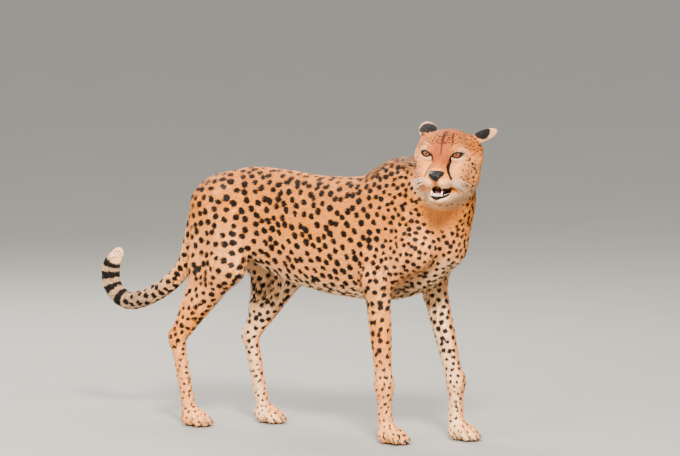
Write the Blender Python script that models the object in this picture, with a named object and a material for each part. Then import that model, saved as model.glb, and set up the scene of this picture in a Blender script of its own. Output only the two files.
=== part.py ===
"""A cheetah, life size: standing with its head turned over its right shoulder and its mouth a little open.

The animal is one rounded surface, where simple shapes are joined with fillets. It is meshed, thinned, and
parted by thin cuts into the lengths that a person would name. Run with blender --background --python part.py.
"""

from math import cos, radians, sin

import bmesh
import bpy
import numpy as np
import openvdb
from mathutils import Matrix, Vector

# ---- Driving dimensions, in metres: +X to the head end, +Y the animal's left, +Z up, floor at 0 ----

SHIFT = (0.1114, 0.0210, 0.0)      # brings the middle of the footprint to the origin

TRUNK = (                          # along, back line, belly line, half width
    (-0.385, 0.597, 0.515, 0.040),
    (-0.350, 0.638, 0.482, 0.067),
    (-0.265, 0.687, 0.454, 0.088),
    (-0.150, 0.688, 0.404, 0.084),
    (-0.020, 0.676, 0.371, 0.094),
    (0.090, 0.678, 0.360, 0.102),
    (0.180, 0.696, 0.359, 0.102),
    (0.250, 0.714, 0.372, 0.095),
    (0.320, 0.712, 0.402, 0.084),
    (0.378, 0.668, 0.455, 0.064),
)
TRUNK_CAP = 0.035                  # how far the trunk rounds off past its first and last rows
TRUNK_POWER = 2.3                  # its section, between an ellipse (2) and a box

EYES = (0.4115, -0.1020, 0.7540)      # midway between the eyeballs
HEAD_HEADING = radians(-75.5)       # the face looks over the right shoulder
HEAD_PITCH = radians(0)
HEAD_ROLL = radians(-2)
EYE_SIDE = 0.0392                  # eyeball from the middle of the face
EYE_RADIUS = 0.0172
SOCKET_GAP = 0.0003
LID = 0.0034                       # lid over the eyeball
LID_WIDE = 0.0145                  # half the opening between the lids
LID_TALL = 0.0080
EAR_LENGTH = 0.067
EAR_WIDTH = 0.048
EAR_DEPTH = 0.020
EARS = (                           # root, way out, way its back faces
    ((-0.058, 0.057, 0.037), (-0.30, 0.88, 0.41), (0.48, -0.22, 0.85)),
    ((-0.054, -0.052, 0.038), (-0.75, -0.42, 0.50), (0.50, 0.06, 0.82)),
)
SHOULDER = (0.312, 0.080, 0.505)
HIP = (-0.295, 0.060, 0.600)
FORE_STEPS = ((1, 0.078), (-1, -0.040))   # side, how far that foot is put forward
HIND_STEPS = ((1, 0.085), (-1, -0.045))
TOES = ((0.050, 0.0092, 0.0105), (0.038, 0.0262, 0.0100))   # reach, side, radius
TAIL = (                           # along, across, up, radius
    (-0.364, 0, 0.616, 0.034),
    (-0.412, 0, 0.560, 0.027),
    (-0.434, 0, 0.490, 0.0240),
    (-0.460, 0, 0.415, 0.0235),
    (-0.515, 0, 0.362, 0.0235),
    (-0.585, 0, 0.325, 0.0240),
    (-0.650, 0, 0.312, 0.0245),
    (-0.698, 0, 0.345, 0.0250),
    (-0.705, 0, 0.400, 0.0250),
    (-0.680, 0, 0.440, 0.0150),
)

FOCUS = (-0.050, 0.0, -0.025)      # middle of the head, in the head's axes
FOCUS_REACH = 0.155                # round it, the mesh is FOCUS_GAIN times as fine
FOCUS_FADE = 0.10
FOCUS_GAIN = 3.0


# ---- Rounded shapes, as distances: below 0 inside, above 0 outside ----

def blend(first, second, soft):
    """The union of two shapes, with a fillet about `soft` wide: the smaller distance, rounded off."""
    share = np.clip(0.5 + 0.5 * (second - first) / soft, 0.0, 1.0)
    return second * (1 - share) + first * share - soft * share * (1 - share)


def carve(shape, cutter, soft):
    """`shape` with `cutter` taken out: the larger distance of the two, with the edge rounded by `soft`."""
    return -blend(-shape, cutter, soft)


def frame_of(forward, up):
    """Rows forward, left and up of the axes that look along `forward`."""
    forward = np.array(forward, float)
    forward /= np.linalg.norm(forward)
    up = np.array(up, float)
    up -= forward * (up @ forward)
    up /= np.linalg.norm(up)
    return np.array([forward, np.cross(up, forward), up])


def turned(place, origin, axes):
    """Places as seen from `origin`, in `axes`."""
    return (place - np.float32(origin)) @ np.float32(axes).T


def mirrored(place):
    """Places folded onto the left side, for a shape with two like halves."""
    return np.stack([place[..., 0], np.abs(place[..., 1]), place[..., 2]], -1)


def lump(place, centre, radii, axes=None):
    """An ellipsoid: k (k - 1) / g, where k is the place over the radii, and g its slope."""
    local = place - np.float32(centre)
    if axes is not None:
        local = local @ np.float32(axes).T
    scaled = local / np.float32(radii)
    near = np.sqrt((scaled ** 2).sum(-1))
    slope = np.sqrt(((scaled / np.float32(radii)) ** 2).sum(-1))
    return near * (near - 1) / np.maximum(slope, 1e-6)


def bone(place, start, end, start_radius, end_radius, flat=1.0):
    """A tapered rod with round ends: the distance to its line less its radius there. `flat` is its thickness
    from side to side, over that from front to back."""
    start = np.array(start, float)
    along = np.array(end, float) - start
    side = np.array((0.0, 1.0, 0.0))
    side -= along * (side @ along) / (along @ along)
    side /= np.linalg.norm(side)
    local = place - np.float32(start)
    share = np.clip(local @ np.float32(along) / (along @ along), 0, 1)
    away = local - share[..., None] * np.float32(along)
    across = (away @ np.float32(side)) * (1 / flat - 1)
    away = away + across[..., None] * np.float32(side)
    radius = start_radius + (end_radius - start_radius) * share
    return (np.sqrt((away ** 2).sum(-1)) - radius) * min(flat, 1.0) ** 0.5


def smooth_curve(points, count):
    """`count` points of the Catmull-Rom curve through the given rows, of any width."""
    points = np.array(points, float)
    rows = np.vstack([2 * points[0] - points[1], points, 2 * points[-1] - points[-2]])
    at = np.linspace(0, len(points) - 1 - 1e-9, count)
    i = at.astype(int)
    t = (at - i)[:, None]
    a, b, c, d = rows[i], rows[i + 1], rows[i + 2], rows[i + 3]
    square = 2 * a - 5 * b + 4 * c - d
    cube = 3 * b - 3 * c + d - a
    return 0.5 * (2 * b + (c - a) * t + square * t ** 2 + cube * t ** 3)


def chain(place, stations, count):
    """A bending tube through rows of place and radius: the nearest of short tapered rods."""
    rows = smooth_curve(stations, count)
    nearest = np.full(place.shape[:-1], 9.0, np.float32)
    for first, second in zip(rows[:-1], rows[1:]):
        nearest = np.minimum(nearest, bone(place, first[:3], second[:3], first[3], second[3]))
    return nearest


# ---- The animal ----

def trunk(place):
    """Rump to chest: at each place along, a rounded section between the back line and the belly line."""
    rows = smooth_curve(TRUNK, 160)
    x = place[..., 0]
    back, belly, half = (np.interp(x, rows[:, 0], rows[:, i]).astype(np.float32) for i in (1, 2, 3))
    height = (back - belly) / 2
    up = (place[..., 2] - (back + belly) / 2) / height
    side = place[..., 1] / (half * (1 + 0.10 * np.clip(up, -1.2, 1.2)))
    cap = np.maximum(np.maximum(TRUNK[0][0] - x, x - TRUNK[-1][0]), 0) / TRUNK_CAP
    near = (np.abs(up) ** TRUNK_POWER + np.abs(side) ** TRUNK_POWER + cap ** TRUNK_POWER) ** (1 / TRUNK_POWER)
    size = np.maximum(np.sqrt(up ** 2 + side ** 2 + cap ** 2), 1e-3)
    slope = np.sqrt((up / height) ** 2 + (side / half) ** 2 + (cap / TRUNK_CAP) ** 2) / size
    return (np.maximum(near, 1e-3) - 1) / np.maximum(slope, 1.0)


def neck(place):
    """Neck from the withers to the back of the skull, with the short mane over the nape."""
    low = bone(place, (0.235, 0, 0.600), (0.345, -0.002, 0.640), 0.096, 0.084, 0.86)
    high = bone(place, (0.330, 0, 0.640), (0.402, -0.033, 0.698), 0.082, 0.059, 0.95)
    mane = bone(place, (0.206, 0, 0.698), (0.330, 0, 0.704), 0.018, 0.026)
    return blend(blend(low, high, 0.03), mane, 0.045)


def paw(place, at):
    """Pad and four toes, each toe a bent rod that comes down to the floor."""
    local = place - np.float32((at[0], at[1], 0))
    shape = lump(local, (0.002, 0, 0.024), (0.034, 0.030, 0.028))
    for reach, side, radius in TOES:
        for hand in (side, -side):
            knuckle = (reach - 0.010, hand, 0.0235)
            toe = bone(local, (0.012, hand * 0.75, 0.034), knuckle, radius, radius)
            tip = bone(local, (reach - 0.012, hand, 0.022), (reach, hand, 0.0085), radius, radius * 0.95)
            shape = blend(shape, blend(toe, tip, 0.004), 0.004)
    return shape


def fore_joints(step):
    """Elbow, wrist and ankle of a front leg whose foot is put `step` forward."""
    return ((0.224 + step * 0.45, 0.088, 0.425), (0.262 + step, 0.080, 0.150), (0.264 + step, 0.078, 0.058))


def foreleg(place, side, step):
    """One front leg: shoulder blade, upper arm, forearm, wrist, pastern and paw."""
    p = place * np.float32((1, side, 1))
    elbow, wrist, ankle = fore_joints(step)
    shape = bone(p, (0.230, 0.050, 0.682), SHOULDER, 0.045, 0.048, 0.62)
    shape = blend(shape, bone(p, SHOULDER, elbow, 0.053, 0.040, 0.72), 0.03)
    shape = blend(shape, bone(p, (0.205, 0.062, 0.600), elbow, 0.054, 0.036, 0.60), 0.03)
    shape = blend(shape, bone(p, elbow, wrist, 0.0390, 0.0215, 0.86), 0.02)
    shape = blend(shape, lump(p, (wrist[0] + 0.002, wrist[1], wrist[2]), (0.0225, 0.0220, 0.034)), 0.02)
    shape = blend(shape, bone(p, wrist, ankle, 0.0200, 0.0205), 0.014)
    return blend(shape, paw(p, (ankle[0] + 0.010, ankle[1])), 0.014)


def hind_joints(step):
    """Knee, hock and ankle of a hind leg whose foot is put `step` forward."""
    return ((-0.225 + step * 0.8, 0.088, 0.435), (-0.385 + step, 0.078, 0.228), (-0.350 + step, 0.078, 0.060))


def hindleg(place, side, step):
    """One hind leg: thigh, ham, shank with its tendon, hock, pastern and paw."""
    p = place * np.float32((1, side, 1))
    knee, hock, ankle = hind_joints(step)
    ham = bone(p, (-0.340, 0.050, 0.585), (-0.325 + step * 0.6, 0.074, 0.430), 0.060, 0.042, 0.72)
    calf = bone(p, (-0.320 + step * 0.7, 0.074, 0.400), (hock[0] + 0.002, 0.078, 0.270), 0.036, 0.013, 0.7)
    heel = lump(p, (hock[0] - 0.008, hock[1], hock[2] + 0.010), (0.018, 0.017, 0.026))
    shape = blend(bone(p, HIP, knee, 0.075, 0.052, 0.66), ham, 0.035)
    shape = blend(shape, bone(p, knee, hock, 0.049, 0.020, 0.80), 0.025)
    shape = blend(blend(shape, calf, 0.02), heel, 0.014)
    shape = blend(shape, bone(p, hock, ankle, 0.0205, 0.0190), 0.016)
    return blend(shape, paw(p, (ankle[0] + 0.012, ankle[1])), 0.014)


def body(place):
    """Everything behind the head."""
    shape = blend(trunk(place), neck(place), 0.05)
    for side, step in FORE_STEPS:
        shape = blend(shape, foreleg(place, side, step), 0.028)
    for side, step in HIND_STEPS:
        shape = blend(shape, hindleg(place, side, step), 0.030)
    return blend(shape, chain(place, TAIL, 25), 0.020)


def head_axes():
    """Rows forward, left and up of the head."""
    level = cos(HEAD_PITCH)
    forward = np.array([cos(HEAD_HEADING) * level, sin(HEAD_HEADING) * level, sin(HEAD_PITCH)])
    _, left, up = frame_of(forward, (0, 0, 1))
    left = left * cos(HEAD_ROLL) + up * sin(HEAD_ROLL)
    return np.array([forward, left, np.cross(forward, left)])


HEAD = head_axes()
EYE_GAZE = frame_of((1, 0.16, 0.0), (0, -0.24, 1))   # the left eyeball's axes, in the head's
JAW_TILT = frame_of((1, 0, -0.13), (0, 0, 1))


def from_head(point):
    """A point given in the head's axes, as a place in the animal's."""
    return np.array(EYES) + HEAD.T @ np.array(point, float)


def skull(place):
    """Head in its own axes, with closed eyes and closed lips: origin midway between the eyes."""
    p = mirrored(place)
    shape = lump(p, (-0.062, 0, 0.003), (0.072, 0.069, 0.058))                              # braincase
    shape = blend(shape, lump(p, (-0.022, 0, 0.014), (0.036, 0.047, 0.036)), 0.022)         # forehead
    shape = blend(shape, lump(p, (-0.056, 0.056, -0.004), (0.042, 0.032, 0.042)), 0.020)    # temple
    shape = blend(shape, lump(p, (-0.048, 0.044, -0.040), (0.044, 0.034, 0.046)), 0.020)    # jaw muscle
    cheekbone = bone(p, (-0.004, 0.053, -0.022), (-0.050, 0.073, -0.010), 0.012, 0.013)
    brow = bone(p, (0.006, 0.024, 0.017), (-0.012, 0.058, 0.015), 0.009, 0.008)
    bridge = bone(p, (-0.002, 0, 0.000), (0.050, 0, -0.0440), 0.0180, 0.0125, 1.35)
    shape = blend(blend(blend(shape, cheekbone, 0.018), brow, 0.012), bridge, 0.012)
    shape = blend(shape, lump(p, (0.016, 0, -0.054), (0.043, 0.040, 0.029)), 0.014)         # muzzle
    shape = blend(shape, lump(p, (-0.006, 0.040, -0.052), (0.032, 0.026, 0.034)), 0.018)    # cheek
    shape = blend(shape, lump(p, (0.037, 0.0185, -0.0680), (0.027, 0.0205, 0.0175)), 0.007)  # whisker pads
    shape = blend(shape, lump(p, (0.0585, 0, -0.0525), (0.014, 0.0185, 0.0110)), 0.006)     # nose
    shape = blend(shape, lump(p, (-0.058, 0.047, -0.060), (0.038, 0.030, 0.044)), 0.022)    # ruff
    shape = blend(shape, lump(p, (-0.070, 0, -0.075), (0.050, 0.046, 0.045)), 0.020)        # throat
    chin = lump(p, (0.028, 0, -0.1120), (0.0215, 0.0225, 0.0155))
    jaw = blend(chin, bone(p, (0.018, 0.013, -0.112), (-0.050, 0.038, -0.086), 0.0150, 0.024), 0.012)
    shape = blend(shape, jaw, 0.006)
    shape = blend(shape, lump(p, (0, EYE_SIDE, 0), (EYE_RADIUS + LID,) * 3), 0.006)
    return carve(shape, lump(p, (0.034, 0, -0.0925), (0.052, 0.0300, 0.0130), JAW_TILT), 0.003)   # open mouth


def one_ear(place, root, out, back):
    """A rounded cup, its hollow on the side away from `back`."""
    local = turned(place, root, frame_of(out, back))
    outer = lump(local, (EAR_LENGTH * 0.42, 0, -0.004), (EAR_LENGTH * 0.58, EAR_WIDTH / 2, EAR_DEPTH * 0.62))
    hollow_radii = (EAR_LENGTH * 0.48, EAR_WIDTH * 0.42, EAR_DEPTH * 0.66)
    hollow = lump(local, (EAR_LENGTH * 0.56, 0, -0.0150), hollow_radii)
    return carve(outer, hollow, 0.003)


def whole(place):
    """The whole animal, from places in the model's frame: head and ears on the body, level underneath."""
    place = place - np.float32(SHIFT)
    shape = body(place)
    local = turned(place, EYES, HEAD)
    near = np.linalg.norm(local - np.float32(FOCUS), axis=1) < 0.24
    face = skull(local[near])
    for root, out, back in EARS:
        face = blend(face, one_ear(local[near], root, out, back), 0.008)
    shape[near] = blend(face, shape[near], 0.022)
    return np.maximum(shape, -place[:, 2])


# ---- The mesh of a shape, finer round the head ----

def widened(radius):
    """Distance from the head's middle in the enlarged space: times FOCUS_GAIN inside FOCUS_REACH, and past it
    a slope that falls to 1 as exp(-beyond / FOCUS_FADE)."""
    beyond = np.clip(radius - FOCUS_REACH, 0, None)
    extra = (FOCUS_GAIN - 1) * FOCUS_FADE * (1 - np.exp(-beyond / FOCUS_FADE))
    return np.minimum(radius, FOCUS_REACH) * FOCUS_GAIN + beyond + extra


REAL_RADII = np.linspace(0, 3.0, 3000)
WIDE_RADII = widened(REAL_RADII)


def rescaled(place, given, wanted):
    """Places moved along their lines from the head's middle, from the radii `given` to those `wanted`."""
    middle = from_head(FOCUS) + np.array(SHIFT)
    away = place - middle
    radius = np.linalg.norm(away, axis=-1)
    return middle + away * (np.interp(radius, given, wanted) / np.maximum(radius, 1e-9))[..., None]


def surface(field, low, high, step):
    """Points and four-sided faces where `field` is 0 inside the box: a grid of `step` in the enlarged space,
    worked out block by block near the surface only."""
    corners = np.stack(np.meshgrid(*zip(low, high), indexing="ij"), -1).reshape(-1, 3)
    wide = rescaled(corners, REAL_RADII, WIDE_RADII)
    first = wide.min(0) - 0.08
    block = 8
    counts = np.ceil((wide.max(0) + 0.08 - first) / (step * block)).astype(int)
    grid = np.empty(counts * block, np.float32)
    blocks = grid.reshape(counts[0], block, counts[1], block, counts[2], block)
    index = np.stack(np.meshgrid(*(np.arange(c) for c in counts), indexing="ij"), -1).reshape(-1, 3)
    middles = first + (index + 0.5 - 0.5 / block) * block * step
    real = rescaled(middles, WIDE_RADII, REAL_RADII)
    distance = field(real)
    blocks[index[:, 0], :, index[:, 1], :, index[:, 2], :] = np.sign(distance)[:, None, None, None] * 0.5
    near = index[np.abs(distance) * FOCUS_GAIN < block * step * 1.4 + 0.01]
    inside = np.stack(np.meshgrid(*[np.arange(block)] * 3, indexing="ij"), -1)
    for part in np.array_split(near, max(1, len(near) // 400)):
        cells = part[:, None, None, None, :] * block + inside
        values = field(rescaled(first + cells * step, WIDE_RADII, REAL_RADII).reshape(-1, 3))
        blocks[part[:, 0], :, part[:, 1], :, part[:, 2], :] = values.reshape(cells.shape[:-1])
    volume = openvdb.FloatGrid(0.5)
    volume.copyFromArray(grid)
    points, _, quads = volume.convertToPolygons(0.0, 0.0)
    return rescaled(first + points * float(step), WIDE_RADII, REAL_RADII), quads[:, ::-1]


# ---- Blender objects ----

SKIN_STEP = 0.0085                 # grid of the mesh that is then thinned out
WHOLE_TRIANGLES = 4600
CUT = 0.0004                       # width of the cuts between nodes
CRUMB = 12                         # a loose bit with fewer points, where a cut grazes the surface, is dropped
FORE_TOP = (                       # a sheet that leans past the ribs: middle, way through, way along, sides
    (0.255, 0.100, 0.4625), np.array((0, 0.195, -0.090)), np.array((0, 0.090, 0.195)), 0.350, 0.300)
HIND_TOP = (                       # the same past the flank
    (-0.260, 0.090, 0.455), np.array((0, 0.090, -0.052)), np.array((0, 0.052, 0.090)), 0.400, 0.216)
FORE_CUTS = (0.030, 0.006)         # over the wrist and the ankle
HIND_CUTS = (-0.034, 0.004)        # over the hock and the ankle
LOW_SHEET = 0.090
TAIL_CUTS = (20, 46, 74)           # hundredths of the tail's length
TAIL_SHEET = 0.100
NECK_CUTS = (                      # middle, way through, sides
    ((0.310, 0, 0.615), (0.826, 0, 0.563), 0.300, 0.500),
    ((0.372, -0.020, 0.658), (0.749, -0.280, 0.600), 0.300, 0.290),
)
EAR_CUTS = (0.019, 0.031)          # from each ear's root
EAR_SHEET = (0.070, 0.060)
JAW_SPLIT = -0.0905                # the level at which the jaws part
HEAD_CUTS = (                      # in the head's axes: middle, way through, way up, sides
    ((0.028, 0, JAW_SPLIT), JAW_TILT[2], (1, 0, 0), 0.160, 0.092),
    ((-0.0165, 0, JAW_SPLIT - 0.024), JAW_TILT[0], (0, 0, 1), 0.160, 0.060),
    ((0.0626, 0, -0.0500), (0.980, 0, 0.200), (0, 0, 1), 0.060, 0.046),
)
TONGUE = (0.012, 0, -0.0990)
TONGUE_RADII = (0.030, 0.0125, 0.0075)
EYE_SEGMENTS = (14, 8)
TONGUE_SEGMENTS = (12, 8)
LOWER_CANINE = ((0.0430, 0.0120, -0.1040), (0.15, 0.05, 1), 0.014, 0.0026)   # middle, way, length, radius
UPPER_CANINE = ((0.0460, 0.0135, -0.0830), (0.05, 0, -1), 0.016, 0.0030)
INCISOR = ((0.0455, 0, -0.1060), (0.10, 0, 1), 0.010, 0.0014)
INCISOR_ROW = 0.00775              # the outer incisors, either side of the middle
CLAW_AIM = (1, 0, -0.45)
CLAW_AHEAD = {"front": 0.010, "hind": 0.012}   # the paw's middle, in front of the ankle
CLAW_HEIGHT = 0.0130
CLAW_LENGTH = 0.012
CLAW_RADIUS = 0.0028

COLOURS = {                        # colour, roughness
    "coat": ((0.62, 0.36, 0.17), 0.85),
    "eye": ((0.16, 0.06, 0.02), 0.08),
    "leather": ((0.02, 0.018, 0.02), 0.45),
    "tongue": ((0.42, 0.16, 0.16), 0.40),
    "claw": ((0.10, 0.08, 0.06), 0.40),
}


def clear_scene():
    """Removes every object, so that the model starts from nothing."""
    for obj in list(bpy.data.objects):
        bpy.data.objects.remove(obj, do_unlink=True)


def new_collection(name):
    """A collection linked to the scene."""
    made = bpy.data.collections.new(name)
    bpy.context.scene.collection.children.link(made)
    return made


def material(name):
    """A Principled material from COLOURS."""
    made = bpy.data.materials.get(name)
    if made is None:
        colour, roughness = COLOURS[name]
        made = bpy.data.materials.new(name)
        made.use_nodes = True
        shader = made.node_tree.nodes["Principled BSDF"]
        shader.inputs["Base Color"].default_value = (*colour, 1)
        shader.inputs["Roughness"].default_value = roughness
        made.diffuse_color = (*colour, 1)
    return made


def add_object(name, mesh, collection, look=None):
    """An object of this mesh in this collection."""
    obj = bpy.data.objects.new(name, mesh)
    collection.objects.link(obj)
    if look:
        mesh.materials.clear()
        mesh.materials.append(material(look))
    return obj


def mesh_of(name, build):
    """A mesh filled by build(bm)."""
    bm = bmesh.new()
    build(bm)
    mesh = bpy.data.meshes.new(name)
    bm.to_mesh(mesh)
    bm.free()
    return mesh


def evaluated(obj):
    """The object's mesh with its modifiers applied."""
    graph = bpy.context.evaluated_depsgraph_get()
    graph.update()
    return bpy.data.meshes.new_from_object(obj.evaluated_get(graph), depsgraph=graph)


def pose(origin, axes):
    """The matrix that puts x, y and z along the rows of `axes`, at `origin`."""
    matrix = Matrix.Translation(Vector(origin) + Vector(SHIFT))
    return matrix @ Matrix([list(row) for row in np.array(axes).T]).to_4x4()


def head_pose(origin, axes=None):
    """The same for an origin and axes given in the head's own axes."""
    own = np.eye(3) if axes is None else np.array(axes)
    return pose(from_head(origin), own @ HEAD)


def ball(name, matrix, radii, collection, look=None, segments=24, rings=12):
    """An ellipsoid with its x, y and z radii."""
    def build(bm):
        bmesh.ops.create_uvsphere(bm, u_segments=segments, v_segments=rings, radius=1.0)
        bm.transform(matrix @ Matrix.Diagonal((*radii, 1)))
    return add_object(name, mesh_of(name, build), collection, look)


def slab(name, matrix, length, width, collection):
    """A thin sheet, CUT thick along x, that parts two nodes."""
    def build(bm):
        bmesh.ops.create_cube(bm, size=1.0)
        bm.transform(matrix @ Matrix.Diagonal((CUT, length, width, 1)))
    return add_object(name, mesh_of(name, build), collection)


def spike(matrix, length, radius, build_into):
    """A claw or a tooth: a six-sided cone along x, blunt at its tip."""
    turn = Matrix.Rotation(radians(90), 4, "Y")
    bmesh.ops.create_cone(build_into, cap_ends=True, segments=6, radius1=radius, radius2=radius * 0.25,
                          depth=length, matrix=matrix @ turn)


def cut_with(obj, cutters, operation="DIFFERENCE"):
    """A Boolean of `obj` with all that a collection holds, applied."""
    change = obj.modifiers.new("cuts", "BOOLEAN")
    change.operand_type = "COLLECTION"
    change.collection = cutters
    change.operation = operation
    change.solver = "EXACT"
    for cutter in cutters.objects:
        cutter.hide_render = True
        cutter.display_type = "WIRE"
    mesh = evaluated(obj)
    obj.modifiers.clear()
    obj.data = mesh


def whole_animal(collection):
    """The animal in one mesh: its surface, thinned to WHOLE_TRIANGLES where it is flattest."""
    low = np.array((-0.75, -0.19, -0.02)) + SHIFT
    high = np.array((0.52, 0.15, 0.86)) + SHIFT
    points, quads = surface(whole, low, high, SKIN_STEP)
    mesh = bpy.data.meshes.new("animal")
    mesh.from_pydata(points.tolist(), [], quads.tolist())
    obj = add_object("animal", mesh, collection)
    thin = obj.modifiers.new("thin", "DECIMATE")
    thin.ratio = WHOLE_TRIANGLES / (2 * len(quads))
    obj.data = evaluated(obj)
    obj.modifiers.clear()
    flatten_soles(obj.data)
    return obj


def flatten_soles(mesh):
    """Brings the soles' points exactly down to the floor."""
    for vertex in mesh.vertices:
        if vertex.co.z < 0.0012:
            vertex.co.z = 0.0


def across(axis, up=(0, 0, 1)):
    """Axes whose x is `axis`: a slab with them lies square to it."""
    return frame_of(axis, up)


def leg_cuts(cutters):
    """Cuts at the top of each leg, past its wrist or hock, and above its paw."""
    level = across((0, 0, 1), (1, 0, 0))
    fore = (FORE_STEPS, fore_joints, FORE_TOP, FORE_CUTS)
    hind = (HIND_STEPS, hind_joints, HIND_TOP, HIND_CUTS)
    for steps, joints, (middle, lean, slant, *size), rises in (fore, hind):
        for side, step in steps:
            fold = np.array((1, side, 1))
            slab("cut", pose(middle * fold, across(lean * fold, slant * fold)), *size, cutters)
            for joint, rise in zip(joints(step)[1:], rises):
                slab("cut", pose(joint * fold + (0, 0, rise), level), LOW_SHEET, LOW_SHEET, cutters)


def tail_cuts(cutters):
    """Cuts across the tail: where it leaves the rump, and at two places along it."""
    rows = smooth_curve(TAIL, 101)
    for at in TAIL_CUTS:
        along = rows[at + 1, :3] - rows[at - 1, :3]
        slab("cut", pose(rows[at, :3], across(along, (0, 1, 0))), TAIL_SHEET, TAIL_SHEET, cutters)


def head_cuts(cutters):
    """Cuts at the neck's two ends, at each ear, round the lower jaw and behind the nose."""
    for middle, way, *size in NECK_CUTS:
        slab("cut", pose(middle, across(way)), *size, cutters)
    for (root, out, back), reach in zip(EARS, EAR_CUTS):
        axes = frame_of(out, back)
        slab("cut", head_pose(np.array(root) + axes[0] * reach, axes), *EAR_SHEET, cutters)
    for middle, way, up, *size in HEAD_CUTS:
        slab("cut", head_pose(middle, across(way, up)), *size, cutters)


def open_sockets(head, jaw):
    """Takes the eyeballs, the gap between the lids and the tongue's bed out of the head and the lower jaw."""
    for side in (1, -1):
        sockets = new_collection("socket")
        radii = (EYE_RADIUS + SOCKET_GAP,) * 3
        ball("cut", head_pose((0, side * EYE_SIDE, 0)), radii, sockets, None, *EYE_SEGMENTS)
        cut_with(head, sockets)
        lids = new_collection("lids")
        add_object("cut", mesh_of("cut", lambda bm, hand=side: almond(bm, hand)), lids)
        cut_with(head, lids)
    bed = new_collection("bed")
    ball("cut", head_pose(TONGUE, JAW_TILT), np.array(TONGUE_RADII) + SOCKET_GAP, bed, None, *TONGUE_SEGMENTS)
    cut_with(head, bed)
    cut_with(jaw, bed)


def almond(bm, side):
    """The opening between the lids: two arcs between the corners, pushed forward through the lids."""
    bow = (LID_WIDE ** 2 + LID_TALL ** 2) / (2 * LID_TALL)
    across_lid = np.linspace(-LID_WIDE, LID_WIDE, 9)
    rise = np.sqrt(bow ** 2 - across_lid ** 2) - (bow - LID_TALL)
    outline = list(zip(across_lid, rise)) + list(zip(across_lid[-2:0:-1], -rise[-2:0:-1]))
    corners = [bm.verts.new((0.004, y, z)) for y, z in outline]
    face = bm.faces.new(corners)
    front = bmesh.ops.extrude_face_region(bm, geom=[face])["geom"]
    moved = [item for item in front if isinstance(item, bmesh.types.BMVert)]
    bmesh.ops.translate(bm, verts=moved, vec=(0.022, 0, 0))
    inner = Matrix([list(row) for row in EYE_GAZE.T]).to_4x4()
    fold = Matrix.Diagonal((1, side, 1, 1))
    bmesh.ops.recalc_face_normals(bm, faces=bm.faces)
    bm.transform(head_pose((0, 0, 0)) @ fold @ Matrix.Translation((0, EYE_SIDE, 0)) @ inner)
    if side < 0:
        bmesh.ops.reverse_faces(bm, faces=bm.faces)


def node_places():
    """Where the middle of each node's mesh lies, in the animal's frame, by name."""
    tail = smooth_curve(TAIL, 101)[:, :3]
    places = {
        "head": from_head((-0.045, 0, -0.020)),
        "lower_jaw": from_head((0.020, 0, -0.112)),
        "nose": from_head((0.068, 0, -0.053)),
        "neck": np.array((0.330, -0.010, 0.640)),
        "trunk": np.array((0.010, 0, 0.560)),
        "tail_root": tail[33],
        "tail_middle": tail[60],
        "tail_tip": tail[88],
    }
    for name, (root, out, _) in zip(("ear_left", "ear_right"), EARS):
        places[name] = from_head(np.array(root) + np.array(out) * 0.040)
    for name, side, (_, step) in (("left", 1, FORE_STEPS[0]), ("right", -1, FORE_STEPS[1])):
        elbow, wrist, ankle = (np.array(joint) * (1, side, 1) for joint in fore_joints(step))
        places[f"front_{name}_leg"] = (elbow + wrist) / 2
        places[f"front_{name}_wrist"] = (wrist + ankle) / 2
        places[f"front_{name}_paw"] = ankle + (0.015, 0, -0.040)
    for name, side, (_, step) in (("left", 1, HIND_STEPS[0]), ("right", -1, HIND_STEPS[1])):
        knee, hock, ankle = (np.array(joint) * (1, side, 1) for joint in hind_joints(step))
        places[f"hind_{name}_leg"] = (knee * 2 + hock) / 3
        places[f"hind_{name}_foot"] = (hock + ankle) / 2
        places[f"hind_{name}_paw"] = ankle + (0.015, 0, -0.040)
    return places


def split(obj, collection):
    """One object for each separate body of the cut mesh, named for the nearest of node_places()."""
    bm = bmesh.new()
    bm.from_mesh(obj.data)
    places = node_places()
    made = {}
    while bm.verts:
        bm.verts.ensure_lookup_table()
        found = {bm.verts[0]}
        edge = [bm.verts[0]]
        while edge:
            linked = {side.other_vert(vertex) for vertex in edge for side in vertex.link_edges}
            edge = list(linked - found)
            found |= linked
        if len(found) > CRUMB:
            name, mesh = island_of(bm, {vertex.index for vertex in found}, places)
            made[name] = add_object(name, mesh, collection, "leather" if name == "nose" else "coat")
        bmesh.ops.delete(bm, geom=list(found), context="VERTS")
        bm.verts.index_update()
    bm.free()
    bpy.data.objects.remove(obj)
    if set(made) != set(places):
        raise ValueError(f"not parted: {set(places) - set(made)}")
    return made


def island_of(bm, index, places):
    """The points of these indices with their faces as a mesh, and the name of the nearest of `places`."""
    island = bm.copy()
    island.verts.ensure_lookup_table()
    bmesh.ops.delete(island, geom=[v for v in island.verts if v.index not in index], context="VERTS")
    low = np.min([v.co for v in island.verts], axis=0)
    high = np.max([v.co for v in island.verts], axis=0)
    middle = (low + high) / 2 - SHIFT
    name = min(places, key=lambda key: np.linalg.norm(places[key] - middle))
    mesh = bpy.data.meshes.new(name)
    island.to_mesh(mesh)
    island.free()
    return name, mesh


def add_claws(nodes):
    """Joins four claws to each paw, at its toes' tips."""
    for leg, steps, joints in (("front", FORE_STEPS, fore_joints), ("hind", HIND_STEPS, hind_joints)):
        for name, (side, step) in zip(("left", "right"), steps):
            ankle = joints(step)[2]
            middle = ankle[0] + CLAW_AHEAD[leg]

            def build(bm):
                for reach, hand, radius in TOES:
                    for toe in (hand, -hand):
                        place = (middle + reach + radius * 0.9, side * (ankle[1] + toe), CLAW_HEIGHT)
                        spike(pose(place, across(CLAW_AIM)), CLAW_LENGTH, CLAW_RADIUS, bm)

            join_to(nodes[f"{leg}_{name}_paw"], build)


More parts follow.
